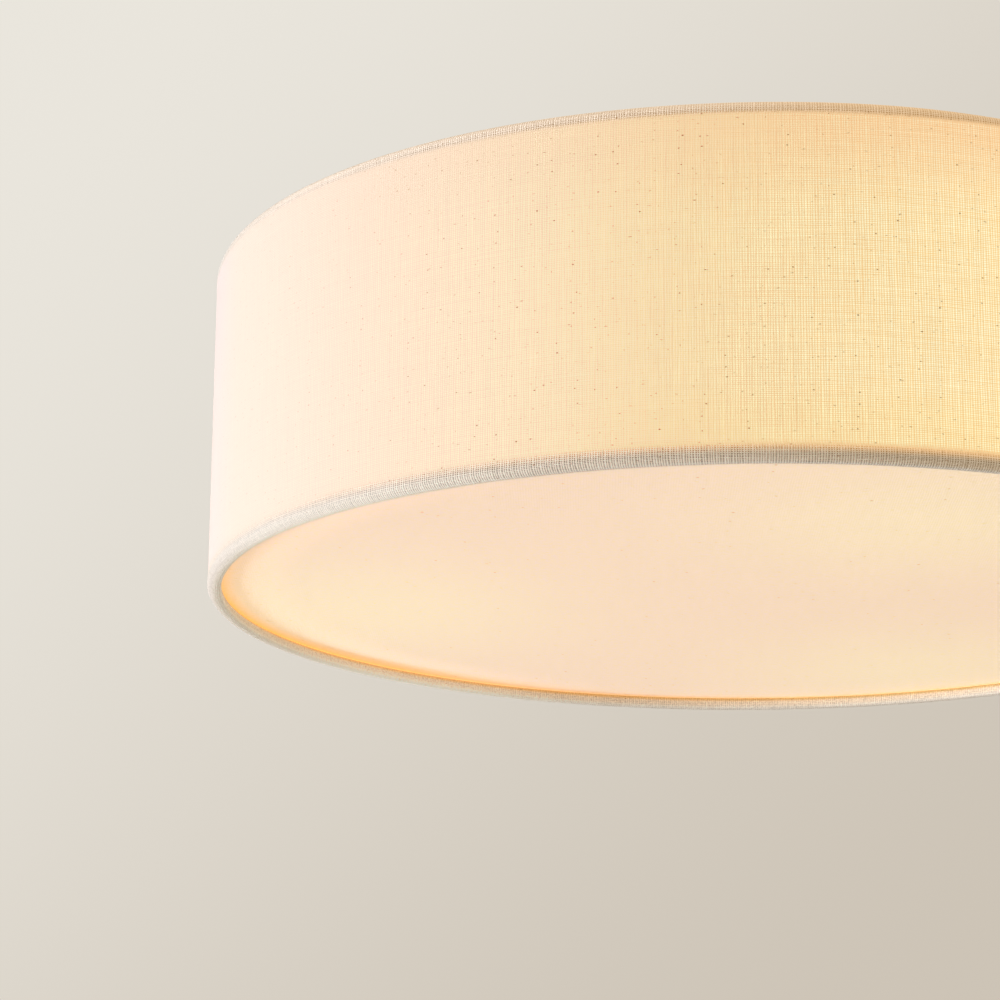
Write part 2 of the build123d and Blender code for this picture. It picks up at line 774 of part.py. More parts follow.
# Rubber bush in the canopy floor, with a groove round the edge of its hole.
with BuildPart() as lead_grommet:
    bore_radius = grommet_bore / 2
    lip_radius = grommet_groove_radius + grommet_lip
    grommet_low = canopy_underside - grommet_lip - seat_gap
    grommet_high = canopy_floor + grommet_lip + seat_gap
    grommet_axis = Axis((grommet_circle_radius, 0, 0), (0, 0, 1))
    with BuildSketch(Plane.XZ.move(Location((grommet_circle_radius, 0, 0)))):
        with BuildLine():
            Polyline(
                (bore_radius, grommet_low),
                (lip_radius, grommet_low),
                (lip_radius, canopy_underside - seat_gap),
                (grommet_groove_radius, canopy_underside - seat_gap),
                (grommet_groove_radius, canopy_floor + seat_gap),
                (lip_radius, canopy_floor + seat_gap),
                (lip_radius, grommet_high),
                (bore_radius, grommet_high),
                close=True,
            )
        make_face()
    revolve(axis=grommet_axis)
write_group(lead_grommet.part, "lead_grommets", lamp_azimuths)

# A row of poles, each a tower with two screw wells and a bore for the wire on either side.
with BuildPart() as terminal_block:
    with BuildSketch(Plane.XY.offset(canopy_floor + seat_gap)):
        with Locations((block_middle_x, 0)):
            RectangleRounded(block_width, block_length, block_corner)
    extrude(amount=block_height)
    tower_width = block_width - 2 * block_tower_inset
    with BuildSketch(Plane.XY.offset(block_top)):
        with Locations((block_middle_x, 0)):
            with GridLocations(0, pole_pitch, 1, pole_count):
                RectangleRounded(tower_width, block_tower_length, block_tower_corner)
    extrude(amount=block_tower_height)
    well_pitch = block_width / 2
    with BuildSketch(Plane.XY.offset(block_top + block_tower_height)):
        with Locations((block_middle_x, 0)):
            with GridLocations(well_pitch, pole_pitch, 2, pole_count):
                Circle(terminal_screw_diameter / 2 + running_gap)
    extrude(amount=-terminal_well_depth, mode=Mode.SUBTRACT)
    with BuildSketch(Plane.YZ.offset(block_near_face)):
        with Locations((0, terminal_z)):
            with GridLocations(pole_pitch, 0, pole_count, 1):
                Circle(terminal_bore_radius)
    extrude(amount=terminal_bore_depth, mode=Mode.SUBTRACT)
    with BuildSketch(Plane.YZ.offset(block_near_face + block_width)):
        with Locations((0, terminal_z)):
            with GridLocations(pole_pitch, 0, pole_count, 1):
                Circle(terminal_bore_radius)
    extrude(amount=-terminal_bore_depth, mode=Mode.SUBTRACT)
    with BuildSketch(Plane.XY.offset(block_top)):
        with Locations(*block_screw_places):
            Circle(block_screw_diameter / 2 + seat_gap)
    extrude(amount=-block_height, mode=Mode.SUBTRACT)
    with BuildSketch(Plane.XY.offset(block_top)):
        with Locations(*block_screw_places):
            Circle(block_screw_head_diameter / 2 + hole_gap)
    extrude(amount=block_tower_height, mode=Mode.SUBTRACT)
    with BuildSketch(Plane.XZ.offset(block_length / 2)):
        with Locations((block_middle_x, terminal_z)):
            Circle(earth_lead_diameter / 2 + hole_gap)
    extrude(amount=-terminal_bore_depth / 2, mode=Mode.SUBTRACT)
write(terminal_block.part, "terminal_block")

with BuildPart() as terminal_screws:
    well_floor = block_top + block_tower_height - terminal_well_depth + seat_gap
    with BuildSketch(Plane.XY.offset(well_floor)):
        with Locations((block_middle_x, 0)):
            with GridLocations(well_pitch, pole_pitch, 2, pole_count):
                Circle(terminal_screw_diameter / 2)
    extrude(amount=terminal_screw_length)
write(terminal_screws.part, "terminal_screws")

with BuildPart() as block_screws:
    block_head_seat = block_top + seat_gap
    with BuildSketch(Plane.XY.offset(block_head_seat)):
        with Locations(*block_screw_places):
            Circle(block_screw_head_diameter / 2)
    extrude(amount=block_screw_head_height)
    with BuildSketch(Plane.XY.offset(block_head_seat)):
        with Locations(*block_screw_places):
            Circle(block_screw_diameter / 2)
    extrude(amount=canopy_underside - screw_tip - block_head_seat)
write(block_screws.part, "block_screws")

with BuildPart() as earth_screw:
    with BuildSketch(Plane.XY.offset(earth_tag_top + seat_gap)):
        with Locations((earth_screw_x, earth_screw_y)):
            Circle(pan_head_diameter / 2)
    extrude(amount=pan_head_height)
    fillet(earth_screw.edges().group_by(Axis.Z)[-1], radius=pan_head_round)
    with BuildSketch(Plane.XY.offset(earth_tag_top + seat_gap)):
        with Locations((earth_screw_x, earth_screw_y)):
            Circle(thread_radius)
    extrude(amount=canopy_underside - screw_tip - earth_tag_top - seat_gap)
write(earth_screw.part, "earth_screw")

# Each lead leaves the back of its lampholder, turns up through its bush and lies to the block.
lead_start_x = nipple_end - wire_short
lead_end_x = block_near_face + terminal_bore_depth - wire_short
lead_middle_z = lead_turn_z - lead_fall
pole_y = (0.0, pole_pitch, -pole_pitch)
for number, azimuth in enumerate(lamp_azimuths, start=1):
    turn = Location((0, 0, 0), (0, 0, azimuth))
    route = [
        (turn * Pos(lead_start_x, 0, lamp_z)).position,
        (turn * Pos(grommet_circle_radius, 0, lamp_z)).position,
        (turn * Pos(grommet_circle_radius, 0, lead_turn_z)).position,
        (*lead_middles[number - 1], lead_middle_z),
        (lead_turn_x, pole_y[number - 1], terminal_z),
        (lead_end_x, pole_y[number - 1], terminal_z),
    ]
    with BuildPart() as lamp_lead:
        with BuildLine() as lead_line:
            FilletPolyline(*route, radius=list(lead_bends))
        with BuildSketch(Plane(origin=lead_line.line @ 0, z_dir=lead_line.line % 0)):
            Circle(lead_radius)
        sweep()
    write(lamp_lead.part, f"lamp_lead_{number}")

# Earth wire from the block to a ring tag under its screw.
with BuildPart() as earth_lead:
    wire_start_y = -block_length / 2 + terminal_bore_depth / 2 - wire_short
    tag_wire_z = earth_tag_z + earth_lead_diameter / 2
    tag_edge = pan_head_diameter / 2 + hole_gap
    with BuildLine() as earth_line:
        FilletPolyline(
            (block_middle_x, wire_start_y, terminal_z),
            (block_middle_x, earth_screw_y + earth_lead_turn, terminal_z),
            (block_middle_x + earth_lead_run, earth_screw_y, tag_wire_z + earth_lead_rise),
            (earth_screw_x - tag_edge, earth_screw_y, tag_wire_z),
            radius=list(earth_lead_bends),
        )
    with BuildSketch(Plane(origin=earth_line.line @ 0, z_dir=earth_line.line % 0)):
        Circle(earth_lead_diameter / 2)
    sweep()
    with BuildSketch(Plane.XY.offset(earth_tag_z)):
        with Locations((earth_screw_x, earth_screw_y)):
            Circle(earth_tag_diameter / 2)
            Circle(thread_radius + seat_gap, mode=Mode.SUBTRACT)
    extrude(amount=earth_tag_thickness)
write(earth_lead.part, "earth_lead")
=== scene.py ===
"""Looks of a cloth drum ceiling light: fabric, lamps, fittings, light and camera."""

import logging
import math
from collections.abc import Iterable, Sequence
from dataclasses import dataclass
from enum import Enum
from typing import Union

import bpy
from mathutils import Matrix, Vector, noise


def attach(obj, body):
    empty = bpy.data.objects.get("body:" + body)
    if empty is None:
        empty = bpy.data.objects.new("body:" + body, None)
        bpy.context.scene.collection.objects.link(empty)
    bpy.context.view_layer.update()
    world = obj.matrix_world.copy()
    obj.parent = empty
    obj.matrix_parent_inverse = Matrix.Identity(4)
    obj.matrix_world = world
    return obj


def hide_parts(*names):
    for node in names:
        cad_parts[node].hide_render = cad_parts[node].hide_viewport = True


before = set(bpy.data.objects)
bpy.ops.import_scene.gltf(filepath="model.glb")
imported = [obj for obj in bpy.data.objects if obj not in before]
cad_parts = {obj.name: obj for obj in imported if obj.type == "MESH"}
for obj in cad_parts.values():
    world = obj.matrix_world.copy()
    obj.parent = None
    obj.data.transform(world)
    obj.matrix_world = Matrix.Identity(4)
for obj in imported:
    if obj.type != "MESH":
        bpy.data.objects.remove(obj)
log = logging.getLogger("drum_light")

MM = 0.001
TURN = 2.0 * math.pi
LAMP_AZIMUTHS = (180.0, 60.0, -60.0)
ARM_AZIMUTHS = (0.0, 120.0, 240.0)
Colour = tuple[float, float, float]
Span = tuple[float, float]
Section = list[tuple[float, float]]
NONE: Colour = (0.0, 0.0, 0.0)
FULL: Colour = (1.0, 1.0, 1.0)
TOP_OF_WALL: Span = (-62.0, -12.0)


class Term:
    """A shader socket that takes part in Python expressions."""

    def __init__(self, graph: "Graph", socket: bpy.types.NodeSocket) -> None:
        """Keep the socket and the graph that it belongs to."""
        self.graph = graph
        self.socket = socket

    @property
    def wide(self) -> bool:
        """Whether the socket carries a vector or a colour."""
        return self.socket.type != "VALUE"

    def do(self, operation: str, *others: "Operand", swap: bool = False) -> "Term":
        """Join this term with others in one Math or Vector Math node.

        Args:
            operation: the node's operation.
            others: its further inputs, in order.
            swap: whether this term comes last.

        Returns:
            The node's result.
        """
        terms = (*others, self) if swap else (self, *others)
        if any(isinstance(t, tuple) or (isinstance(t, Term) and t.wide) for t in terms):
            terms = tuple((t,) * 3 if isinstance(t, (int, float)) else t for t in terms)
            kind = "ShaderNodeVectorMath"
        else:
            kind = "ShaderNodeMath"
        return self.graph.term(kind, {"operation": operation}, dict(enumerate(terms)))

    def __add__(self, other: "Operand") -> "Term":
        """Sum."""
        return self.do("ADD", other)

    def __sub__(self, other: "Operand") -> "Term":
        """Difference."""
        return self.do("SUBTRACT", other)

    def __rsub__(self, other: "Operand") -> "Term":
        """Difference with this term last."""
        return self.do("SUBTRACT", other, swap=True)

    def __mul__(self, other: "Operand") -> "Term":
        """Product."""
        return self.do("MULTIPLY", other)

    def __truediv__(self, other: "Operand") -> "Term":
        """Quotient."""
        return self.do("DIVIDE", other)

    __radd__ = __add__
    __rmul__ = __mul__

    def wave(self) -> "Term":
        """One smooth hump from 0 to 1 and back for each whole number."""
        return 0.5 + 0.5 * (self * TURN).do("COSINE")

    def step(self, low: float, high: float) -> "Term":
        """Rise smoothly from 0 at low to 1 at high, or fall where high is the lesser.

        Args:
            low: where the result is 0.
            high: where the result is 1.

        Returns:
            A number from 0 to 1.
        """
        settings = {"interpolation_type": "SMOOTHSTEP"}
        ends = {"Value": self, "From Min": min(low, high), "From Max": max(low, high)}
        rise = self.graph.term("ShaderNodeMapRange", settings, ends)
        return rise if high > low else 1.0 - rise


Operand = Union[Term, float, tuple]


class Graph:
    """A node tree that is filled from Python expressions."""

    def __init__(self, tree: bpy.types.NodeTree) -> None:
        """Take over a tree and empty it."""
        self.tree = tree
        tree.nodes.clear()

    @staticmethod
    def _socket(sockets: Iterable, key: int | str) -> bpy.types.NodeSocket:
        """Find a socket.

        Args:
            sockets: a node's inputs or outputs.
            key: the socket's place, or its name among those in use.

        Returns:
            The socket.
        """
        if isinstance(key, int):
            return sockets[key]
        return next(s for s in sockets if s.enabled and s.name == key)

    def node(self, kind: str, settings: dict | None = None,
             inputs: dict | None = None) -> bpy.types.Node:
        """Add one node.

        Args:
            kind: the node's type.
            settings: its properties, which are set first.
            inputs: the values or links of its sockets, by name or place.

        Returns:
            The node.
        """
        node = self.tree.nodes.new(kind)
        for name, value in (settings or {}).items():
            setattr(node, name, value)
        for key, value in (inputs or {}).items():
            socket = self._socket(node.inputs, key)
            if isinstance(value, Term):
                self.tree.links.new(value.socket, socket)
            elif socket.type == "RGBA" and len(value) == 3:
                socket.default_value = (*value, 1.0)
            else:
                socket.default_value = value
        return node

    def term(self, kind: str, settings: dict | None = None, inputs: dict | None = None,
             output: int | str = 0) -> Term:
        """Add one node and return one of its outputs as a term."""
        return Term(self, self._socket(self.node(kind, settings, inputs).outputs, output))

    def place(self) -> Term:
        """Return the point on the object in millimetres, in the shared frame."""
        return self.term("ShaderNodeTexCoord", output="Object") * (1000.0, 1000.0, 1000.0)

    def axes(self, vector: Term) -> tuple[Term, Term, Term]:
        """Split a vector into its three numbers."""
        split = self.node("ShaderNodeSeparateXYZ", inputs={0: vector})
        return tuple(Term(self, socket) for socket in split.outputs)

    def vector(self, x: Operand, y: Operand, z: Operand = 0.0) -> Term:
        """Join three numbers into a vector."""
        return self.term("ShaderNodeCombineXYZ", inputs={0: x, 1: y, 2: z})

    def mix(self, low: Operand, high: Operand, share: Operand) -> Term:
        """Blend two colours.

        Args:
            low: the colour at a share of 0.
            high: the colour at a share of 1.
            share: how much of the second colour there is.

        Returns:
            The blend.
        """
        inputs = {"Factor": share, "A": low, "B": high}
        settings = {"data_type": "RGBA", "clamp_factor": True}
        return self.term("ShaderNodeMix", settings, inputs, "Result")

    def noise(self, at: Term, scale: float = 1.0, detail: float = 2.0, rough: float = 0.5) -> Term:
        """Return smooth noise about 0.5 over a vector."""
        inputs = {"Vector": at, "Scale": scale, "Detail": detail, "Roughness": rough}
        return self.term("ShaderNodeTexNoise", {"noise_dimensions": "3D"}, inputs)

    def bump(self, height: Term, distance: float, strength: float = 1.0) -> Term:
        """Return a normal raised by a height; distance is in millimetres."""
        inputs = {"Height": height, "Distance": distance * MM, "Strength": strength}
        return self.term("ShaderNodeBump", None, inputs)


class Finish:
    """What a surface is made of. Each kind says what feeds its shader."""

    def inputs(self, graph: Graph) -> dict[str, Operand]:
        """Return the shader's inputs by name."""
        raise NotImplementedError

    def material(self, name: str) -> bpy.types.Material:
        """Make the material.

        Args:
            name: the material's name.

        Returns:
            The material.
        """
        material = bpy.data.materials.new(name)
        material.use_nodes = True
        graph = Graph(material.node_tree)
        shader = graph.term("ShaderNodeBsdfPrincipled", None, self.inputs(graph))
        graph.node("ShaderNodeOutputMaterial", None, {"Surface": shader})
        return material


def scaled(colour: Colour, share: float) -> Colour:
    """Return a colour made darker or lighter by a share."""
    return tuple(c * share for c in colour)


class Lay(Enum):
    """How the cloth lies, which sets the way that its threads run."""

    WALL = "round the drum"
    DISC = "flat across the bottom"


@dataclass(frozen=True)
class LampGlow:
    """Light that the lamps throw on the cloth from inside."""

    spread: float = 1.7
    floor: float = 0.03
    shares: tuple[float, float, float] = (0.03, 0.66, 0.66)
    radius: float = 250.0
    top_loss: float = 0.06
    spots: tuple[tuple[float, float, float], ...] = (
        (-189.0, 32.0, 0.95), (86.0, 177.0, 0.9), (79.0, -131.0, 1.0))
    spot_width: float = 95.0
    spot_depth: float = 105.0

    def on_wall(self, graph: Graph, x: Term, y: Term, z: Term) -> Term:
        """Return how strongly a point of the drum's wall glows.

        Args:
            graph: not used.
            x: the point's place across.
            y: its place along.
            z: its height.

        Returns:
            The level, about 0.03 to 0.8.
        """
        total: Operand = self.floor
        for azimuth, share in zip(LAMP_AZIMUTHS, self.shares):
            angle = math.radians(azimuth)
            facing = (x * math.cos(angle) + y * math.sin(angle)) / self.radius
            total = (facing * self.spread - self.spread).do("EXPONENT") * share + total
        return total * (1.0 - self.top_loss * z.step(*TOP_OF_WALL))

    def on_disc(self, graph: Graph, x: Term, y: Term) -> Term:
        """Return how near a point of the bottom cloth is to a lamp.

        Args:
            graph: not used.
            x: the point's place across.
            y: its place along.

        Returns:
            A number that is about 1 under each lamp.
        """
        total: Operand = 0.0
        for at_x, at_y, share in self.spots:
            across = (x - at_x) * (1.0 / self.spot_width)
            along = (y - at_y) * (1.0 / self.spot_depth)
            total = (0.0 - (across * across + along * along)).do("EXPONENT") * share + total
        return total


@dataclass(frozen=True)
class Spot:
    """A point of the cloth: its place in millimetres, and its place counted in threads."""

    x: Term
    y: Term
    z: Term
    radius: Term
    across: Term
    along: Term


@dataclass(frozen=True)
class Weave:
    """What a plain weave does at a point, each as a number from 0 to 1."""

    gaps: Term
    holes: Term
    relief: Term
    tone: Term


@dataclass(frozen=True)
class Look:
    """What a lay of cloth adds to the threads at a point."""

    shade: Term
    shine: Term
    brown: Operand
    lift: Operand


@dataclass(frozen=True)
class WallShine:
    """Glow of the drum's wall, the little that comes through its hems, and painted window light on
    the bottom hem's window side.
    """

    top_edge: float = -10.0
    bottom_edge: float = -160.0
    upper_half: Span = (-100.0, -60.0)
    lower_part: Span = (-124.0, -142.0)
    dim_level: Span = (0.18, 0.42)
    mid_level: Span = (0.36, 0.55)
    near_level: Span = (0.45, 0.72)
    side_level: tuple[Span, Span] = ((0.17, 0.22), (0.45, 0.3))
    ridge_level: tuple[Span, Span] = ((0.48, 0.66), (0.16, 0.24))
    hem_reach: Span = (2.6, 7.4)
    hem_top_reach: Span = (5.4, 1.4)
    left_hem_reach: Span = (4.6, 1.4)
    ridge_reach: Span = (6.0, 2.6)
    underside_height: Span = (-157.8, -158.8)
    underside_radius: Span = (249.2, 247.6)
    rim_line_height: Span = (-11.4, -10.5)
    far_thread: Colour = (0.76, 0.3, 0.0)
    near_thread: Colour = (0.81, 0.44, 0.02)
    high_thread: Colour = (0.87, 0.4, 0.05)
    far_gap: Colour = (1.12, 1.3, 0.48)
    near_gap: Colour = (1.05, 1.24, 0.88)
    lower_tint: Colour = (1.0, 0.97, 0.84)
    least: Colour = (0.05, 0.012, 0.0)
    hem_edge: Colour = (0.22, 0.12, 0.03)
    hem_inside: Colour = (0.85, 0.4, 0.06)
    # painted light: an even glow on the underside of the bottom hem, in place of the lamps' glow
    hem_top: Colour = (0.3, 0.2, 0.1)
    underside_painted_light: Colour = (0.12, 0.095, 0.06)
    # painted window light on the bottom hem's rounded edge on the window side
    painted_window_light_left_hem: Colour = (0.07, 0.08, 0.07)
    far_ridge: Colour = (0.25, 0.18, 0.13)
    near_ridge: Colour = (0.18, 0.08, 0.01)
    rim_line: Colour = (0.5, 0.22, 0.02)

    def cloth(self, graph: Graph, at: Spot, weave: Weave, level: Term) -> Term:
        """Return the colour of the single cloth for a full glow.

        Args:
            graph: the tree to add to.
            at: the point.
            weave: the weave there.
            level: how strongly the lamps shine on it.

        Returns:
            The colour.
        """
        high = at.z.step(*TOP_OF_WALL)
        thin = (0.38 + 0.44 * level.step(*self.dim_level) + 0.1 * level) * (1.0 - 0.38 * high)
        near = level.step(*self.near_level)
        thread = graph.mix(self.far_thread, self.near_thread, near)
        thread = graph.mix(thread, self.high_thread, high)
        gap = graph.mix(self.far_gap, self.near_gap, near)
        wall = graph.mix(thread, gap, weave.gaps * thin) * (0.8 + 0.4 * weave.tone)
        low = at.z.step(*self.lower_part) * level.step(*self.mid_level)
        return wall * graph.mix(FULL, self.lower_tint, low)

    def colour(self, graph: Graph, at: Spot, weave: Weave, level: Term, clear: Term) -> Term:
        """Return the glow's colour.

        Args:
            graph: the tree to add to.
            at: the point.
            weave: the weave there.
            level: how strongly the lamps shine on it.
            clear: 1 on the single cloth and 0 on the hems.

        Returns:
            The colour.
        """
        from_edge = (at.z - self.bottom_edge).do("MINIMUM", self.top_edge - at.z)
        upper = at.z.step(*self.upper_half)
        hem = graph.mix(self.hem_edge, self.hem_inside, from_edge.step(*self.hem_reach))
        hem = hem + graph.mix(NONE, self.hem_top, upper * from_edge.step(*self.hem_top_reach))
        lit = graph.mix(hem, self.cloth(graph, at, weave, level), clear) * level
        lit = lit + graph.mix(NONE, self.least, clear)
        # the bottom hem's underside takes the even painted light
        under = at.z.step(*self.underside_height) * at.radius.step(*self.underside_radius)
        # painted window light: lights the bottom hem where the lamps' glow is middling, on the
        # window side
        side = level.step(*self.side_level[0]) * level.step(*self.side_level[1])
        lit = graph.mix(lit, self.underside_painted_light, under) + graph.mix(
            NONE, self.painted_window_light_left_hem, side * from_edge.step(*self.left_hem_reach) * (1.0 - upper))
        ridge = graph.mix(self.far_ridge, self.near_ridge, level.step(*self.ridge_level[0]))
        ridge = ridge * (0.25 + 0.75 * level.step(*self.ridge_level[1]))
        lit = lit + graph.mix(NONE, ridge, upper * from_edge.step(*self.ridge_reach))
        return lit + graph.mix(NONE, self.rim_line, at.z.step(*self.rim_line_height) * level)


@dataclass(frozen=True)
class DiscShine:
    """Glow of the bottom cloth, with a warmer line at its edge, and painted light on the left where
    the hem's shadow falls.
    """

    between: Colour = (0.42, 0.235, 0.115)
    under_lamp: Colour = (0.465, 0.325, 0.13)
    left_part: Span = (-60.0, -190.0)
    # painted light that fills the hem's shadow on the disc's left side
    left_painted_light: Colour = (0.16, 0.1, 0.075)
    left_ring: Span = (208.0, 232.0)
    rim: Colour = (0.6, 0.255, 0.03)
    rim_ring: Span = (236.5, 245.5)
    far_part: Span = (50.0, 180.0)
    far_growth: float = 8.0

    def colour(self, graph: Graph, at: Spot, tone: Term, nap: Term, spots: Term) -> Term:
        """Return the glow's colour.

        Args:
            graph: the tree to add to.
            at: the point.
            tone: the uneven tone of the threads.
            nap: the cloth's fine mottle.
            spots: how near the point is to a lamp.

        Returns:
            The colour.
        """
        body = graph.mix(self.between, self.under_lamp, spots)
        cloud = graph.noise(graph.vector(at.x, at.y) * (0.03, 0.03, 0.03), 1.0, 3.0)
        even = body * (0.72 + 0.1 * tone + 0.1 * cloud + 0.36 * nap)
        left = at.x.step(*self.left_part)
        # painted light over the hem's shadow on the left
        even = even + graph.mix(NONE, self.left_painted_light, left * at.radius.step(*self.left_ring))
        rim = (at.radius + self.far_growth * at.y.step(*self.far_part)).step(*self.rim_ring)
        return graph.mix(even, self.rim, left * rim)


@dataclass(frozen=True)
class Cloth(Finish):
    """Unbleached plain-woven cloth with brown flecks, lit from behind."""

    lay: Lay
    pitch: float = 0.78
    upright_pitch: float = 1.075
    threads_round: int = 1461
    middle: float = -85.0
    skew: float = 0.05
    thread: Colour = (0.96, 0.885, 0.79)
    fleck: Colour = (0.3, 0.17, 0.08)
    lit_fleck: Colour = (0.18, 0.075, 0.01)
    glow: LampGlow = LampGlow()
    wall_shine: WallShine = WallShine()
    disc_shine: DiscShine = DiscShine()
    lower_border: Span = (-154.5, -151.2)
    upper_border: Span = (-14.7, -17.1)
    crevice_height: Span = (-156.6, -155.2)
    crevice_radius: Span = (247.0, 245.8)
    crevice_glow: Colour = (0.2, 0.06, 0.0)
    # painted shade: darker, yellower cloth colour in the crevice by the diffuser's edge
    crevice_painted_shade: Colour = (0.74, 0.7, 0.46)
    inner_radius: Span = (248.6, 246.4)
    wall_shade: Colour = (0.82, 0.8, 0.82)
    hem_shade: Colour = (0.83, 0.83, 0.83)
    left_part: Span = (-60.0, -200.0)
    # painted light on the inner face of the hems on the window side, which lies in shadow
    left_inner_painted_light: Colour = (0.1, 0.09, 0.07)
    # painted shade: cooler, darker cloth towards the upper left silhouette
    left_end: Span = (-229.0, -243.0)
    left_end_height: Span = (-95.0, -25.0)
    left_end_painted_shade: Colour = (0.93, 0.97, 1.0)
    # painted cool light on the single cloth at the left end
    cool_end: Span = (-222.0, -242.0)
    left_end_painted_cool_light: Colour = (0.0, 0.0, 0.05)
    depth_level: Span = (0.12, 0.4)
    fleck_level: Span = (0.18, 0.42)
    wander: float = 0.9
    fleck_cell: tuple[float, float] = (8.0, 6.5)

    def inputs(self, graph: Graph) -> dict[str, Operand]:
        """Return the shader's inputs: thread colour with painted shade, glow through the gaps with
        painted light, and relief.

        Args:
            graph: the tree to add to.

        Returns:
            Values and links by the name of their socket.
        """
        at = self.spot(graph)
        weave = self.weave(graph, at)
        look = (self.wall if self.lay is Lay.WALL else self.disc)(graph, at, weave)
        return {
            "Base Color": graph.mix(self.thread, self.fleck, look.brown) * look.shade,
            "Roughness": 0.92,
            "Specular IOR Level": 0.25,
            "Sheen Weight": 0.1,
            "Sheen Roughness": 0.5,
            "Emission Color": graph.mix(look.shine, self.lit_fleck, look.brown),
            "Emission Strength": 1.0,
            "Normal": graph.bump(weave.relief * look.lift, 1.0),
        }

    def spot(self, graph: Graph) -> Spot:
        """Find the shaded point and its place among the threads.

        Args:
            graph: the tree to add to.

        Returns:
            The point.
        """
        x, y, z = graph.axes(graph.place())
        radius = (x * x + y * y).do("SQRT")
        if self.lay is Lay.WALL:
            across = x.do("ARCTAN2", 0.0 - y) * (self.threads_round / TURN)
            height = z - self.middle
            along = (height + height.do("SIGN") * (self.glow.radius - radius)) / self.pitch
        else:
            right, ahead = math.cos(self.skew), math.sin(self.skew)
            across = (x * right + y * ahead) / self.upright_pitch
            along = (y * right - x * ahead) / self.pitch
        return Spot(x, y, z, radius, across, along)

    def weave(self, graph: Graph, at: Spot) -> Weave:
        """Work out the gaps, holes, relief and uneven tone of a plain weave.

        Args:
            graph: the tree to add to.
            at: the point.

        Returns:
            The weave at the point.
        """
        across, along = at.across, at.along
        wander = graph.noise(graph.vector(across * 0.7, along * 0.035), 1.0, 1.0)
        drift = graph.noise(graph.vector(across * 0.03, along * 0.7, 7.0), 1.0, 1.0)
        upright = across + self.wander * (wander - 0.5)
        level = along + self.wander * (drift - 0.5)
        open_up, open_level = upright.wave(), level.wave()
        both = open_up * open_level
        ribbed = graph.noise(graph.vector(across * 0.6, along * 0.16, 21.0)).step(0.3, 0.7)
        gaps = open_up * (0.16 + 0.26 * ribbed) + open_level * (0.33 - 0.16 * ribbed) + both * 0.42
        holes = both * 0.66 + open_up * 0.2 + open_level * 0.14
        over = (upright * math.pi).do("SINE") * (level * math.pi).do("SINE")
        relief = ((1.0 - open_up) * (0.6 + 0.4 * over)).do(
            "MAXIMUM", (1.0 - open_level) * (0.6 - 0.4 * over))
        streak = graph.noise(graph.vector(across * 0.45, along * 0.012, 3.0), 1.0, 3.0, 0.7)
        slub = graph.noise(graph.vector(across * 0.02, along * 0.5, 11.0), 1.0, 3.0, 0.7)
        return Weave(gaps, holes, relief, streak * 0.6 + slub * 0.4)

    def flecks(self, graph: Graph, across: Term, along: Term) -> Term:
        """Scatter seed flecks, which lie along the threads.

        Args:
            graph: the tree to add to.
            across: place counted in upright threads.
            along: place counted in level threads.

        Returns:
            1 on a fleck and 0 elsewhere.
        """
        wide, high = self.fleck_cell
        cells = graph.node("ShaderNodeTexVoronoi", {"voronoi_dimensions": "2D"}, {
            "Vector": graph.vector(across / wide, along / high), "Scale": 1.0, "Randomness": 1.0})
        near = Term(graph, cells.outputs["Distance"])
        pick, size, _ = graph.axes(Term(graph, cells.outputs["Color"]))
        ragged = graph.noise(graph.vector(across * 0.9, along * 1.3, 5.0), 1.0, 1.0)
        seeds = (near - size * 0.035 + 0.06 * (ragged - 0.5)).step(0.04, 0.0) * pick.step(0.2, 0.95)
        dust = graph.noise(graph.vector(across * 0.42, along * 0.75, 9.0), 1.0, 1.0)
        return seeds.do("MAXIMUM", dust.step(0.67, 0.88))

    def past_hem(self, graph: Graph, at: Spot) -> Term:
        """Tell the single cloth of the wall from its hems, with a ragged border.

        Args:
            graph: the tree to add to.
            at: the point.

        Returns:
            1 on the single cloth and 0 on both hems.
        """
        ragged = 0.9 * (graph.noise(graph.vector(at.x * 0.4, at.y * 0.4, at.z * 0.3)) - 0.5)
        height = at.z + ragged
        return height.step(*self.lower_border) * height.step(*self.upper_border)

    def wall(self, graph: Graph, at: Spot, weave: Weave) -> Look:
        """Give the drum's wall and its rolled hems their look.

        Args:
            graph: the tree to add to.
            at: the point.
            weave: the weave there.

        Returns:
            The look at the point.
        """
        clear = self.past_hem(graph, at)
        rolled = 1.0 - clear
        level = self.glow.on_wall(graph, at.x, at.y, at.z)
        inner = at.radius.step(*self.inner_radius)
        crevice = at.z.step(*self.crevice_height) * at.radius.step(*self.crevice_radius)
        left = at.x.step(*self.left_part)
        shine = self.wall_shine.colour(graph, at, weave, level, clear)
        shine = graph.mix(shine, self.crevice_glow, crevice)
        # painted light on the hems' inner face on the window side
        shine = shine + graph.mix(NONE, self.left_inner_painted_light, left * inner)
        # painted cool light at the wall's left end
        shine = shine + graph.mix(NONE, self.left_end_painted_cool_light, clear * at.x.step(*self.cool_end))
        depth = rolled * (0.26 + 0.72 * level.step(*self.depth_level)) * (1.0 - 0.6 * inner)
        grain = graph.noise(graph.place() * (1.1, 1.1, 1.3), 1.0, 1.0) - 0.5
        end = at.x.step(*self.left_end) * at.z.step(*self.left_end_height)
        shade = graph.mix(self.wall_shade, self.hem_shade, rolled)
        shade = shade * ((1.0 - depth * weave.holes) / (1.0 - 0.33 * depth)
                         * (0.97 + 0.06 * weave.tone))
        shade = shade * (1.0 + rolled * (0.45 + 0.4 * inner) * grain)
        # painted shade in the crevice by the diffuser
        shade = shade * graph.mix(FULL, self.crevice_painted_shade, crevice)
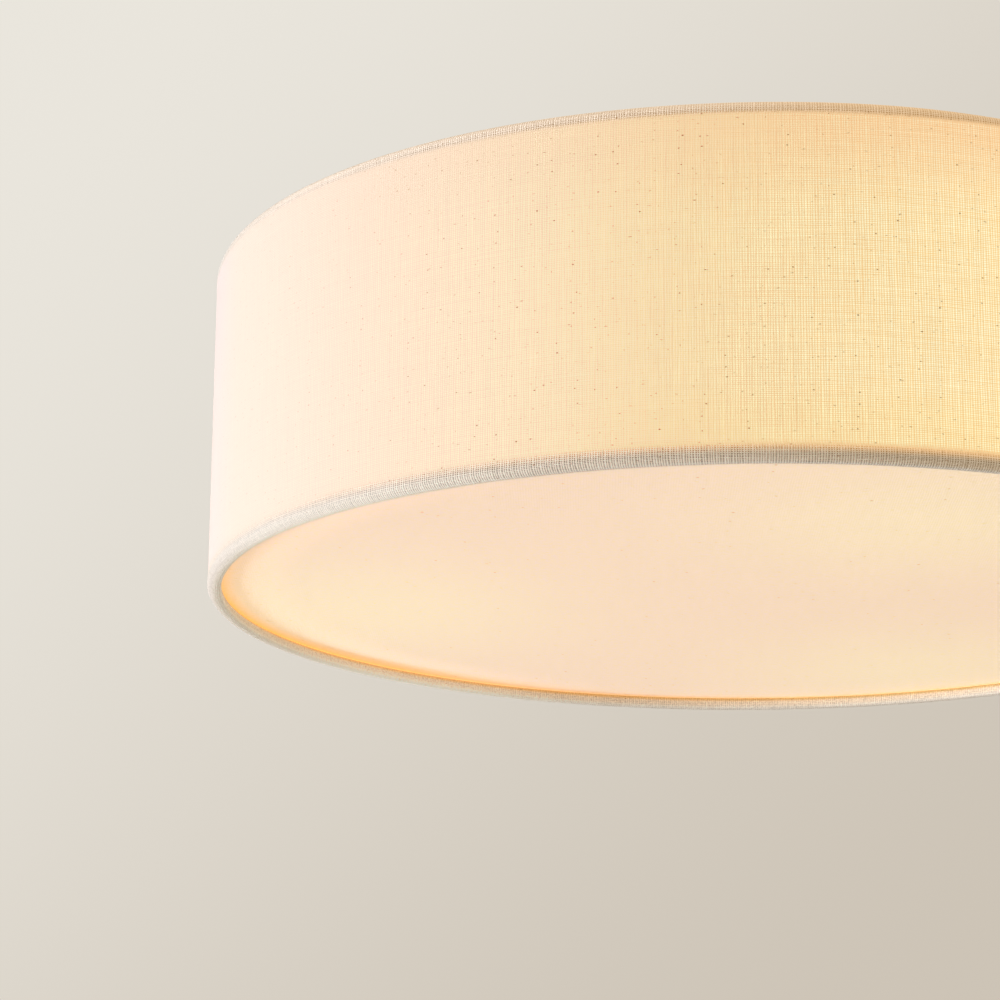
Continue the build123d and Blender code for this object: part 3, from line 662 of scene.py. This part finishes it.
        # painted shade towards the upper left silhouette
        shade = shade * graph.mix(FULL, self.left_end_painted_shade, end)
        show = 0.3 + 0.55 * level.step(*self.fleck_level)
        brown = self.flecks(graph, at.across, at.along) * show
        return Look(shade, shine, brown, 0.05 + 0.13 * rolled)

    def disc(self, graph: Graph, at: Spot, weave: Weave) -> Look:
        """Give the flat bottom cloth its look, with faint specks.

        Args:
            graph: the tree to add to.
            at: the point.
            weave: the weave there.

        Returns:
            The look at the point.
        """
        nap = graph.noise(graph.vector(at.x * 0.42, at.y * 0.32), 1.0, 2.0, 0.7)
        speck = 1.0 - 0.36 * self.flecks(graph, at.across * 0.6, at.along * 0.28)
        spots = self.glow.on_disc(graph, at.x, at.y)
        shine = self.disc_shine.colour(graph, at, weave.tone, nap, spots) * speck
        shade = (1.0 - 0.04 * weave.gaps) * (0.93 + 0.1 * weave.tone) * (0.76 + 0.48 * nap) * speck
        return Look(shade, shine, 0.0, 0.05)


@dataclass(frozen=True)
class Metal(Finish):
    """Plated or drawn metal with fine marks and a little tarnish."""

    colour: Colour
    roughness: float = 0.3
    tarnish: float = 0.25
    grain: tuple[float, float, float] = (1.0, 1.0, 1.0)
    relief: float = 0.02

    def inputs(self, graph: Graph) -> dict[str, Operand]:
        """Return the shader's inputs: patchy tone, fine marks and polish.

        Args:
            graph: the tree to add to.

        Returns:
            Values and links by the name of their socket.
        """
        at = graph.place()
        patch = graph.noise(at, 0.09, 4.0, 0.6)
        marks = graph.noise(at * self.grain, 1.6, 5.0, 0.7)
        dull = scaled(self.colour, 0.55)
        return {
            "Base Color": graph.mix(self.colour, dull, patch.step(0.45, 0.75) * self.tarnish),
            "Metallic": 1.0,
            "Roughness": self.roughness + 0.16 * (marks - 0.5) + 0.2 * (patch - 0.5),
            "Normal": graph.bump(marks, self.relief),
        }


@dataclass(frozen=True)
class Enamel(Finish):
    """Baked enamel on pressed steel, with the soft ripple of sprayed paint."""

    colour: Colour

    def inputs(self, graph: Graph) -> dict[str, Operand]:
        """Return the shader's inputs: ripple, faint clouding and a gloss coat.

        Args:
            graph: the tree to add to.

        Returns:
            Values and links by the name of their socket.
        """
        at = graph.place()
        ripple = graph.noise(at, 0.55, 2.0)
        cloud = graph.noise(at, 0.02, 3.0)
        shade = scaled(self.colour, 0.93)
        return {
            "Base Color": graph.mix(self.colour, shade, cloud.step(0.35, 0.7)),
            "Roughness": 0.3 + 0.15 * (cloud - 0.5),
            "Coat Weight": 0.35,
            "Coat Roughness": 0.12,
            "Normal": graph.bump(ripple, 0.06, 0.5),
        }


@dataclass(frozen=True)
class Moulded(Finish):
    """Moulded plastic or rubber with a fine spark-eroded grain."""

    colour: Colour
    roughness: float = 0.5
    grain: float = 2.2
    relief: float = 0.02

    def inputs(self, graph: Graph) -> dict[str, Operand]:
        """Return the shader's inputs: grain, flow marks and slight unevenness.

        Args:
            graph: the tree to add to.

        Returns:
            Values and links by the name of their socket.
        """
        at = graph.place()
        speckle = graph.noise(at, self.grain, 3.0, 0.6)
        flow = graph.noise(at * (0.03, 0.03, 0.12), 1.0, 2.0)
        shade = scaled(self.colour, 0.86)
        return {
            "Base Color": graph.mix(self.colour, shade, flow.step(0.35, 0.7)),
            "Roughness": self.roughness + 0.18 * (speckle - 0.5),
            "Normal": graph.bump(speckle, self.relief),
        }


@dataclass(frozen=True)
class Opal(Finish):
    """Opal globe of a lit lamp, brightest round its middle."""

    fade: Span = (153.0, 173.0)
    strength: float = 0.66
    neck_glow: Colour = (0.62, 0.4, 0.19)
    middle_glow: Colour = (1.0, 0.84, 0.58)
    opal: Colour = (0.86, 0.83, 0.76)
    pale_opal: Colour = (0.93, 0.91, 0.86)

    def inputs(self, graph: Graph) -> dict[str, Operand]:
        """Return the shader's inputs: a glow that fades towards the lamp's neck.

        Args:
            graph: the tree to add to.

        Returns:
            Values and links by the name of their socket.
        """
        x, y, z = graph.axes(graph.place())
        reach: Operand = 0.0
        for azimuth in LAMP_AZIMUTHS:
            angle = math.radians(azimuth)
            reach = (x * math.cos(angle) + y * math.sin(angle)).do("MAXIMUM", reach)
        lit = reach.step(*self.fade)
        haze = graph.noise(graph.vector(x, y, z), 0.08, 2.0)
        return {
            "Base Color": graph.mix(self.opal, self.pale_opal, haze),
            "Roughness": 0.32 + 0.1 * (haze - 0.5),
            "Emission Color": graph.mix(self.neck_glow, self.middle_glow, lit),
            "Emission Strength": self.strength,
        }


@dataclass(frozen=True)
class Film(Finish):
    """Milky laminating film, lit by the lamps."""

    shine: float = 0.3
    far_glow: Colour = (0.5, 0.33, 0.16)
    near_glow: Colour = (1.0, 0.78, 0.5)
    milky: Colour = (0.9, 0.86, 0.78)
    printed: Colour = (0.95, 0.92, 0.86)
    glow: LampGlow = LampGlow(shares=(0.6, 0.6, 0.6))

    def inputs(self, graph: Graph) -> dict[str, Operand]:
        """Return the shader's inputs: the cloth's threads printed faintly through the film.

        Args:
            graph: the tree to add to.

        Returns:
            Values and links by the name of their socket.
        """
        x, y, z = graph.axes(graph.place())
        level = self.glow.on_wall(graph, x, y, z)
        print_through = graph.noise(graph.vector(x, y, z) * (0.9, 0.9, 0.9), 1.0, 3.0, 0.6)
        return {
            "Base Color": graph.mix(self.milky, self.printed, print_through),
            "Roughness": 0.42 + 0.2 * (print_through - 0.5),
            "Emission Color": graph.mix(self.far_glow, self.near_glow, level),
            "Emission Strength": self.shine,
            "Normal": graph.bump(print_through, 0.03),
        }


@dataclass(frozen=True)
class LampBoard(Finish):
    """White-lacquered lamp board with a ring of yellow emitters."""

    pitch: float = 7.0
    lacquer: Colour = (0.9, 0.9, 0.86)
    emitter: Colour = (0.95, 0.72, 0.12)

    def inputs(self, graph: Graph) -> dict[str, Operand]:
        """Return the shader's inputs: yellow emitters on white lacquer.

        Args:
            graph: the tree to add to.

        Returns:
            Values and links by the name of their socket.
        """
        at = graph.place()
        cells = graph.term("ShaderNodeTexVoronoi", None,
                           {"Vector": at, "Scale": 1.0 / self.pitch, "Randomness": 0.15})
        chip = cells.step(0.34, 0.26)
        return {
            "Base Color": graph.mix(self.lacquer, self.emitter, chip),
            "Roughness": 0.35 + 0.3 * chip,
            "Normal": graph.bump(chip, 0.3),
        }


FINISHES: dict[str, Finish] = {
    "cloth": Cloth(Lay.WALL),
    "liner": Film(),
    "ring_wire": Metal((0.72, 0.71, 0.69), 0.28, 0.3, (0.2, 0.2, 3.0)),
    "white_enamel": Enamel((0.86, 0.85, 0.82)),
    "zinc_plate": Metal((0.68, 0.69, 0.70), 0.36, 0.4),
    "nickel_plate": Metal((0.74, 0.70, 0.64), 0.2, 0.15),
    "brass": Metal((0.78, 0.58, 0.26), 0.28, 0.4),
    "nylon": Moulded((0.86, 0.84, 0.78), 0.42),
    "holder_plastic": Moulded((0.85, 0.84, 0.80), 0.46, 1.4, 0.03),
    "bulb_tip_metal": Metal((0.62, 0.60, 0.57), 0.4, 0.35),
    "bulb_insulator_glass": Moulded((0.035, 0.035, 0.045), 0.12, 0.5, 0.005),
    "bulb_cap_metal": Metal((0.78, 0.77, 0.75), 0.24, 0.2),
    "bulb_plastic": Moulded((0.88, 0.87, 0.84), 0.38, 1.8, 0.01),
    "lamp_board": LampBoard(),
    "bulb_opal": Opal(),
    "bush_rubber": Moulded((0.045, 0.044, 0.042), 0.7, 1.5, 0.04),
    "lead_sheath": Moulded((0.8, 0.78, 0.72), 0.4, 1.2),
    "earth_sheath": Moulded((0.25, 0.5, 0.08), 0.42, 1.2),
    "terminal_plastic": Moulded((0.8, 0.79, 0.74), 0.5, 1.6),
}


def turned(point: Vector, degrees: float) -> Vector:
    """Turn a point about the vertical axis."""
    return Matrix.Rotation(math.radians(degrees), 3, "Z") @ point


def make_piece(name: str, points: Sequence[Vector], faces: Sequence[Sequence[int]],
               material: bpy.types.Material, sharp: float = 40.0) -> bpy.types.Object:
    """Make a mesh object that is smooth but for its edges.

    Args:
        name: the piece's name.
        points: its corners in metres.
        faces: the corners of each face.
        material: what it is made of.
        sharp: the least angle in degrees at which an edge stays sharp.

    Returns:
        The object, linked to the scene.
    """
    mesh = bpy.data.meshes.new(name)
    mesh.from_pydata([tuple(p) for p in points], [], [tuple(f) for f in faces])
    mesh.update()
    mesh.shade_smooth()
    mesh.set_sharp_from_angle(angle=math.radians(sharp))
    mesh.materials.append(material)
    piece = bpy.data.objects.new(name, mesh)
    bpy.context.scene.collection.objects.link(piece)
    log.info("%s: %d faces", name, len(mesh.polygons))
    return piece


def ramp(value: float, start: float, length: float) -> float:
    """Rise evenly from 0 at a start to 1 a length further on."""
    return max(0.0, min(1.0, (value - start) / length))


def hump(value: float, middle: float, width: float) -> float:
    """Return a bell that is 1 at its middle and fades over its width."""
    return math.exp(-((value - middle) / width) ** 2)


def tube_faces(rings: int, around: int, close_rings: bool) -> list[tuple[int, ...]]:
    """Join rings of points by quads, each ring closed on itself.

    Args:
        rings: how many rings there are.
        around: how many points each has.
        close_rings: whether the last ring joins the first.

    Returns:
        The corners of each quad.
    """
    last = rings if close_rings else rings - 1
    return [
        (i * around + j, i * around + (j + 1) % around,
         (i + 1) % rings * around + (j + 1) % around, (i + 1) % rings * around + j)
        for i in range(last) for j in range(around)
    ]


def rounded(corners: Section, radii: Sequence[float], arc_steps: int = 6) -> Section:
    """Round the inner corners of a path.

    Args:
        corners: the path's points.
        radii: the bend at each point but the first and the last.
        arc_steps: how many pieces each bend has.

    Returns:
        The path's points with each bend followed.
    """
    path = [corners[0]]
    for before, at, after, radius in zip(corners, corners[1:], corners[2:], radii):
        middle = Vector(at)
        back = (Vector(before) - middle).normalized()
        ahead = (Vector(after) - middle).normalized()
        half = back.angle(ahead) / 2.0
        centre = middle + (back + ahead).normalized() * (radius / math.sin(half))
        start = middle + back * (radius / math.tan(half)) - centre
        end = middle + ahead * (radius / math.tan(half)) - centre
        sweep = start.angle(end)
        for i in range(arc_steps + 1):
            share = i / arc_steps
            spoke = (start * math.sin((1 - share) * sweep) + end * math.sin(share * sweep))
            path.append(tuple(centre + spoke / math.sin(sweep)))
    return [*path, corners[-1]]


@dataclass
class ShadeFabric:
    """The drum's cloth: one strip, stretched round the film and rolled over both rings.

    Each Span here is a place and a width: a start and a length, or a middle and a spread.
    """

    radius: float = 249.7
    top: float = -10.3
    bottom: float = -160.5
    half_cloth: float = 0.3
    roll: float = 244.18
    tuck: float = 248.93
    tucked: tuple[float, float] = (-154.4, -15.6)
    bend: float = 2.4
    fold: float = 1.4
    tilt: float = 1.05
    corner: float = 2.95
    steps: int = 720
    hem_reach: float = 9.0
    wall_steps: int = 24
    notch_half: float = 2.1
    notch_depth: float = 3.6
    notch_margin: float = 0.2
    spacing: float = 0.001
    outer_side: Span = (249.2, 0.5)
    bottom_bulge: Span = (-156.6, 2.8)
    top_bulge: Span = (-13.4, 2.2)
    seam_azimuth: float = 90.0
    lap_end: float = 4.6
    lap_fade_end: float = 20.0
    lap_rise: float = 0.5
    sag: float = 0.12
    sagging: Span = (154.0, 5.0)
    dip: float = 0.9
    dip_sweep: Span = (298.0, 9.0)
    dip_height: Span = (-20.0, 6.0)
    flat: tuple[float, float] = (0.182, 1.59)

    def hem(self, edge: float, inward: float, tucked: float) -> Section:
        """Return a hem's middle line from its tucked end to the wall.

        Args:
            edge: the height of the shade's edge.
            inward: 1 for the bottom hem, which rises from the edge, or -1 for the top hem.
            tucked: the height of the tucked end.

        Returns:
            The line, as radii and heights.
        """
        corners = [(self.tuck, tucked), (self.roll, tucked), (self.roll, edge + inward * self.tilt),
                   (self.radius, edge), (self.radius, edge + inward * self.hem_reach)]
        return rounded(corners, (self.bend, self.fold, self.corner))

    def middle_line(self, notched: bool) -> Section:
        """Draw the strip's middle line from its lower tucked end to its upper one.

        Args:
            notched: whether the upper hem is cut short for an arm.

        Returns:
            The line, as radii and heights.
        """
        lower = self.hem(self.bottom, 1.0, self.tucked[0])
        upper = self.hem(self.top, -1.0, self.tucked[1])
        if notched:
            stop = self.top - self.notch_depth
            ends = [p for p in upper if p[0] < self.roll + self.notch_margin and p[1] > stop]
            keep = upper[upper.index(ends[0]):]
            tail = (self.roll, stop)
            upper = [tail] * (len(upper) - len(keep)) + keep
            upper = [(r, z - self.spacing * i) for i, (r, z) in enumerate(upper[::-1])][::-1]
        low, high = lower[-1][1], upper[-1][1]
        wall = [(self.radius, low + (high - low) * i / self.wall_steps)
                for i in range(1, self.wall_steps)]
        return [*lower, *wall, *upper[::-1]]

    def section(self, line: Section) -> Section:
        """Give a middle line its cloth thickness: one side out and the other back.

        Args:
            line: the middle line.

        Returns:
            The closed outline.
        """
        sides: tuple[Section, Section] = ([], [])
        for i, at in enumerate(line):
            before, after = line[max(i - 1, 0)], line[min(i + 1, len(line) - 1)]
            run = (Vector(after) - Vector(before))
            run = run.normalized() if run.length > 1e-9 else Vector((0.0, 1.0))
            for side, sign in zip(sides, (1.0, -1.0)):
                side.append((at[0] + sign * self.half_cloth * run.y,
                             at[1] - sign * self.half_cloth * run.x))
        return [*sides[0], *sides[1][::-1]]

    def swell(self, r: float, z: float, azimuth: float) -> tuple[float, float]:
        """Move a point of the section by the cloth's unevenness.

        Args:
            r: the point's radius in millimetres.
            z: its height in millimetres.
            azimuth: its direction in degrees.

        Returns:
            The moved radius and height.
        """
        angle = math.radians(azimuth)
        at = Vector((math.cos(angle), math.sin(angle), 0.0))
        slow = noise.noise(at * 9.0 + Vector((0, 0, z * 0.01)))
        quick = noise.noise(at * 38.0 + Vector((0, 0, z * 0.05)))
        outside = ramp(r, *self.outer_side)
        low = hump(z, *self.bottom_bulge)
        high = hump(z, *self.top_bulge)
        rise = outside * (low * (0.32 + 0.2 * slow + 0.1 * quick) + high * 0.12 + 0.04 * slow)
        past = (azimuth - self.seam_azimuth + 180.0) % 360.0 - 180.0
        lap = 0.0
        if 0.0 <= past < self.lap_fade_end and outside > 0.0:
            fade = 1.0 if past < self.lap_end else math.exp(-(past - self.lap_end) / 2.0)
            lap = self.lap_rise * outside * fade
        sag = self.sag * (slow + 0.5 * quick) * ramp(-z, *self.sagging)
        dip = self.dip * hump(azimuth, *self.dip_sweep) * ramp(z, *self.dip_height)
        return r + rise + lap, z + sag - dip

    def build(self) -> bpy.types.Object:
        """Make the cloth and dress it.

        Returns:
            The object, riding on its body.
        """
        whole = self.section(self.middle_line(False))
        cut = self.section(self.middle_line(True))
        points = []
        for i in range(self.steps):
            azimuth = 360.0 * i / self.steps
            near_arm = min(abs((azimuth - a + 180.0) % 360.0 - 180.0) for a in ARM_AZIMUTHS)
            for r, z in cut if near_arm < self.notch_half else whole:
                out, up = self.swell(r, z, azimuth)
                points.append(turned(Vector((out, 0.0, up)) * MM, azimuth))
        faces = tube_faces(self.steps, len(whole), True)
        piece = make_piece("shade_fabric", points, faces, FINISHES["cloth"].material("shade_cloth"))
        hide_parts("shade_cloth")
        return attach(piece, "shade")


@dataclass
class DiffuserFabric:
    """The round cloth under the diffusing sheet, cut a little smaller than the drum."""

    radius: float = 247.4
    lower: float = -153.8
    upper: float = -153.2
    steps: int = 360
    first_ring: float = 6.0
    ring_growth: float = 1.35
    inner_rings: int = 12
    outer_rings: tuple[float, ...] = (180.0, 205.0, 225.0, 238.0, 243.5, 246.6)
    edge_inset: float = 0.05
    edge_round: float = 0.15
    loose_radius: float = 240.0
    ripple: float = 0.06
    ripple_scale: float = 0.02
    flat: tuple[float, float] = (0.495, 0.495)

    def build(self) -> bpy.types.Object:
        """Make the cloth and dress it.

        Returns:
            The object, riding on its body.
        """
        radii = [self.first_ring * self.ring_growth ** i for i in range(self.inner_rings)]
        radii += self.outer_rings
        inset, bevel = self.radius - self.edge_inset, self.edge_round
        section = [(r, self.lower) for r in radii]
        section += [(inset, self.lower + bevel), (self.radius, self.lower + 2.0 * bevel),
                    (inset, self.upper - bevel)]
        section += [(r, self.upper) for r in reversed(radii)]
        points = []
        for i in range(self.steps):
            azimuth = 360.0 * i / self.steps
            for r, z in section:
                point = turned(Vector((r, 0.0, z)), azimuth)
                if z == self.lower and r < self.loose_radius:
                    point.z += self.ripple * noise.noise(point * self.ripple_scale)
                points.append(point * MM)
        faces = tube_faces(self.steps, len(section), True)
        count = len(section)
        faces = [f for f in faces if not (f[0] % count == count - 1 or f[1] % count == 0)]
        below, above = len(points), len(points) + 1
        points += [Vector((0.0, 0.0, self.lower * MM)), Vector((0.0, 0.0, self.upper * MM))]
        for i in range(self.steps):
            here, there = i * count, (i + 1) % self.steps * count
            faces += [(below, here, there), (above, there + count - 1, here + count - 1)]
        material = Cloth(Lay.DISC).material("diffuser_cloth")
        piece = make_piece("diffuser_fabric", points, faces, material)
        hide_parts("diffuser_cloth")
        math.pi * (self.radius * MM) ** 2
        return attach(piece, "diffuser")


@dataclass
class Fittings:
    """The pieces that keep their CAD shape and get their real finish."""

    def dress(self) -> None:
        """Put the finish of each record slot on the nodes that use it."""
        made: dict[str, bpy.types.Material] = {}
        for name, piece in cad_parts.items():
            for i, slot in enumerate(piece.data.materials):
                kind = slot.name.split(".")[0]
                if kind not in made:
                    made[kind] = FINISHES[kind].material(f"{kind}_finish")
                piece.data.materials[i] = made[kind]
            log.info("%s: finished", name)


@dataclass
class Studio:
    """Plain pale room: camera, soft window light, world and floor."""

    middle_height: float = -0.085
    focal_px: float = 3337.0
    frame_px: float = 1000.0
    sensor: float = 36.0
    yaw: float = 4.465
    pitch: float = 14.747
    roll: float = 0.489
    eye: tuple[float, float, float] = (0.0, -1.50045, -0.50475)
    ambient: Colour = (0.38, 0.369, 0.334)
    window_level: float = 0.84
    window_colour: Colour = (1.0, 1.0, 1.08)
    window_azimuth: float = 190.0
    window_rise: float = -0.3
    window_distance: float = 2.6
    window_size: float = 1.5
    bright: Colour = (0.82, 0.788, 0.722)
    dim: Colour = (0.609, 0.549, 0.467)
    fall: Span = (0.03, 1.0)
    floor_height: float = -3.2
    floor_rings: tuple[float, ...] = (0.5, 3.0, 9.0)
    floor_points: int = 60
    floor_colours: tuple[Colour, Colour] = ((0.74, 0.71, 0.66), (0.8, 0.77, 0.72))
    floor_seen: Colour = (0.36, 0.34, 0.3)

    def view_axes(self) -> tuple[Vector, Vector, Vector]:
        """Work out the directions of the camera.

        Returns:
            Its right, down and forward directions.
        """
        yaw, pitch, roll = (math.radians(a) for a in (self.yaw, self.pitch, self.roll))
        turn = Matrix(((math.cos(yaw), math.sin(yaw), 0), (-math.sin(yaw), math.cos(yaw), 0),
                       (0, 0, 1)))
        level = Matrix(((1, 0, 0), (0, 0, -1), (0, 1, 0)))
        tilt = Matrix(((1, 0, 0), (0, math.cos(pitch), math.sin(pitch)),
                       (0, -math.sin(pitch), math.cos(pitch))))
        bank = Matrix(((math.cos(roll), -math.sin(roll), 0), (math.sin(roll), math.cos(roll), 0),
                       (0, 0, 1)))
        rows = bank @ tilt @ level @ turn
        return rows[0].copy(), rows[1].copy(), rows[2].copy()

    def camera(self) -> None:
        """Set the camera at the photograph's view."""
        right, down, forward = self.view_axes()
        data = bpy.data.cameras.new("camera")
        data.sensor_width = self.sensor
        data.lens = self.focal_px / self.frame_px * self.sensor
        camera = bpy.data.objects.new("camera", data)
        axes = Matrix((right, -down, -forward)).transposed().to_4x4()
        camera.matrix_world = Matrix.Translation(self.eye) @ axes
        bpy.context.scene.collection.objects.link(camera)
        bpy.context.scene.camera = camera

    def world(self) -> None:
        """Give the room an even light, and a pale wall that darkens to the lower right."""
        world = bpy.data.worlds.new("room")
        world.use_nodes = True
        bpy.context.scene.world = world
        graph = Graph(world.node_tree)
        right, down, _ = self.view_axes()
        slope = (right + down) * (self.focal_px / self.frame_px / 2.0)
        way = graph.term("ShaderNodeTexCoord", output="Generated")
        shade = graph.term("ShaderNodeVectorMath", {"operation": "DOT_PRODUCT"},
                           {0: way, 1: tuple(slope)}, "Value") + 0.5
        wall = graph.mix(self.bright, self.dim, shade.step(*self.fall))
        path = graph.node("ShaderNodeLightPath")
        seen = Term(graph, path.outputs["Is Camera Ray"])
        for kind in ("Is Glossy Ray", "Is Transmission Ray"):
            seen = seen.do("MAXIMUM", Term(graph, path.outputs[kind]))
        lit = graph.mix(self.ambient, wall, seen)
        sky = graph.term("ShaderNodeBackground", None, {"Color": lit, "Strength": 1.0})
        graph.node("ShaderNodeOutputWorld", None, {"Surface": sky})

    def window(self) -> None:
        """Add the soft window light from the left."""
        data = bpy.data.lights.new("window", "AREA")
        data.size = self.window_size
        data.color = self.window_colour
        data.energy = self.window_level * math.pi ** 2 * self.window_distance ** 2
        light = bpy.data.objects.new("window", data)
        angle = math.radians(self.window_azimuth)
        out = Vector((math.cos(angle), math.sin(angle), self.window_rise)).normalized()
        light.location = out * self.window_distance + Vector((0.0, 0.0, self.middle_height))
        light.rotation_euler = out.to_track_quat("Z", "Y").to_euler()
        light.visible_camera = False
        bpy.context.scene.collection.objects.link(light)

    def floor(self) -> None:
        """Lay the floor of the room, far below the light."""
        count = self.floor_points
        points = [turned(Vector((r, 0.0, self.floor_height)), 360.0 * i / count)
                  for r in self.floor_rings for i in range(count)]
        faces = tube_faces(len(self.floor_rings), count, False) + [tuple(range(count))[::-1]]
        material = bpy.data.materials.new("floor")
        material.use_nodes = True
        graph = Graph(material.node_tree)
        tone = graph.noise(graph.place(), 0.0006, 3.0)
        seen = Term(graph, graph.node("ShaderNodeLightPath").outputs["Is Camera Ray"])
        surface = graph.term("ShaderNodeBsdfPrincipled", None, {
            "Base Color": graph.mix(*self.floor_colours, tone),
            "Emission Color": graph.mix(NONE, self.floor_seen, seen),
            "Emission Strength": 1.0, "Roughness": 0.8})
        graph.node("ShaderNodeOutputMaterial", None, {"Surface": surface})
        make_piece("floor", points, faces, material)

    def build(self) -> None:
        """Set up the whole room."""
        self.camera()
        self.world()
        self.window()
        self.floor()
        bpy.context.scene.view_settings.view_transform = "Standard"


def main() -> None:
    """Build the room and the light."""
    logging.basicConfig(level=logging.INFO, format="%(name)s %(message)s")
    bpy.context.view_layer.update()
    Studio().build()
    Fittings().dress()
    ShadeFabric().build()
    DiffuserFabric().build()


if __name__ == "__main__":
    main()
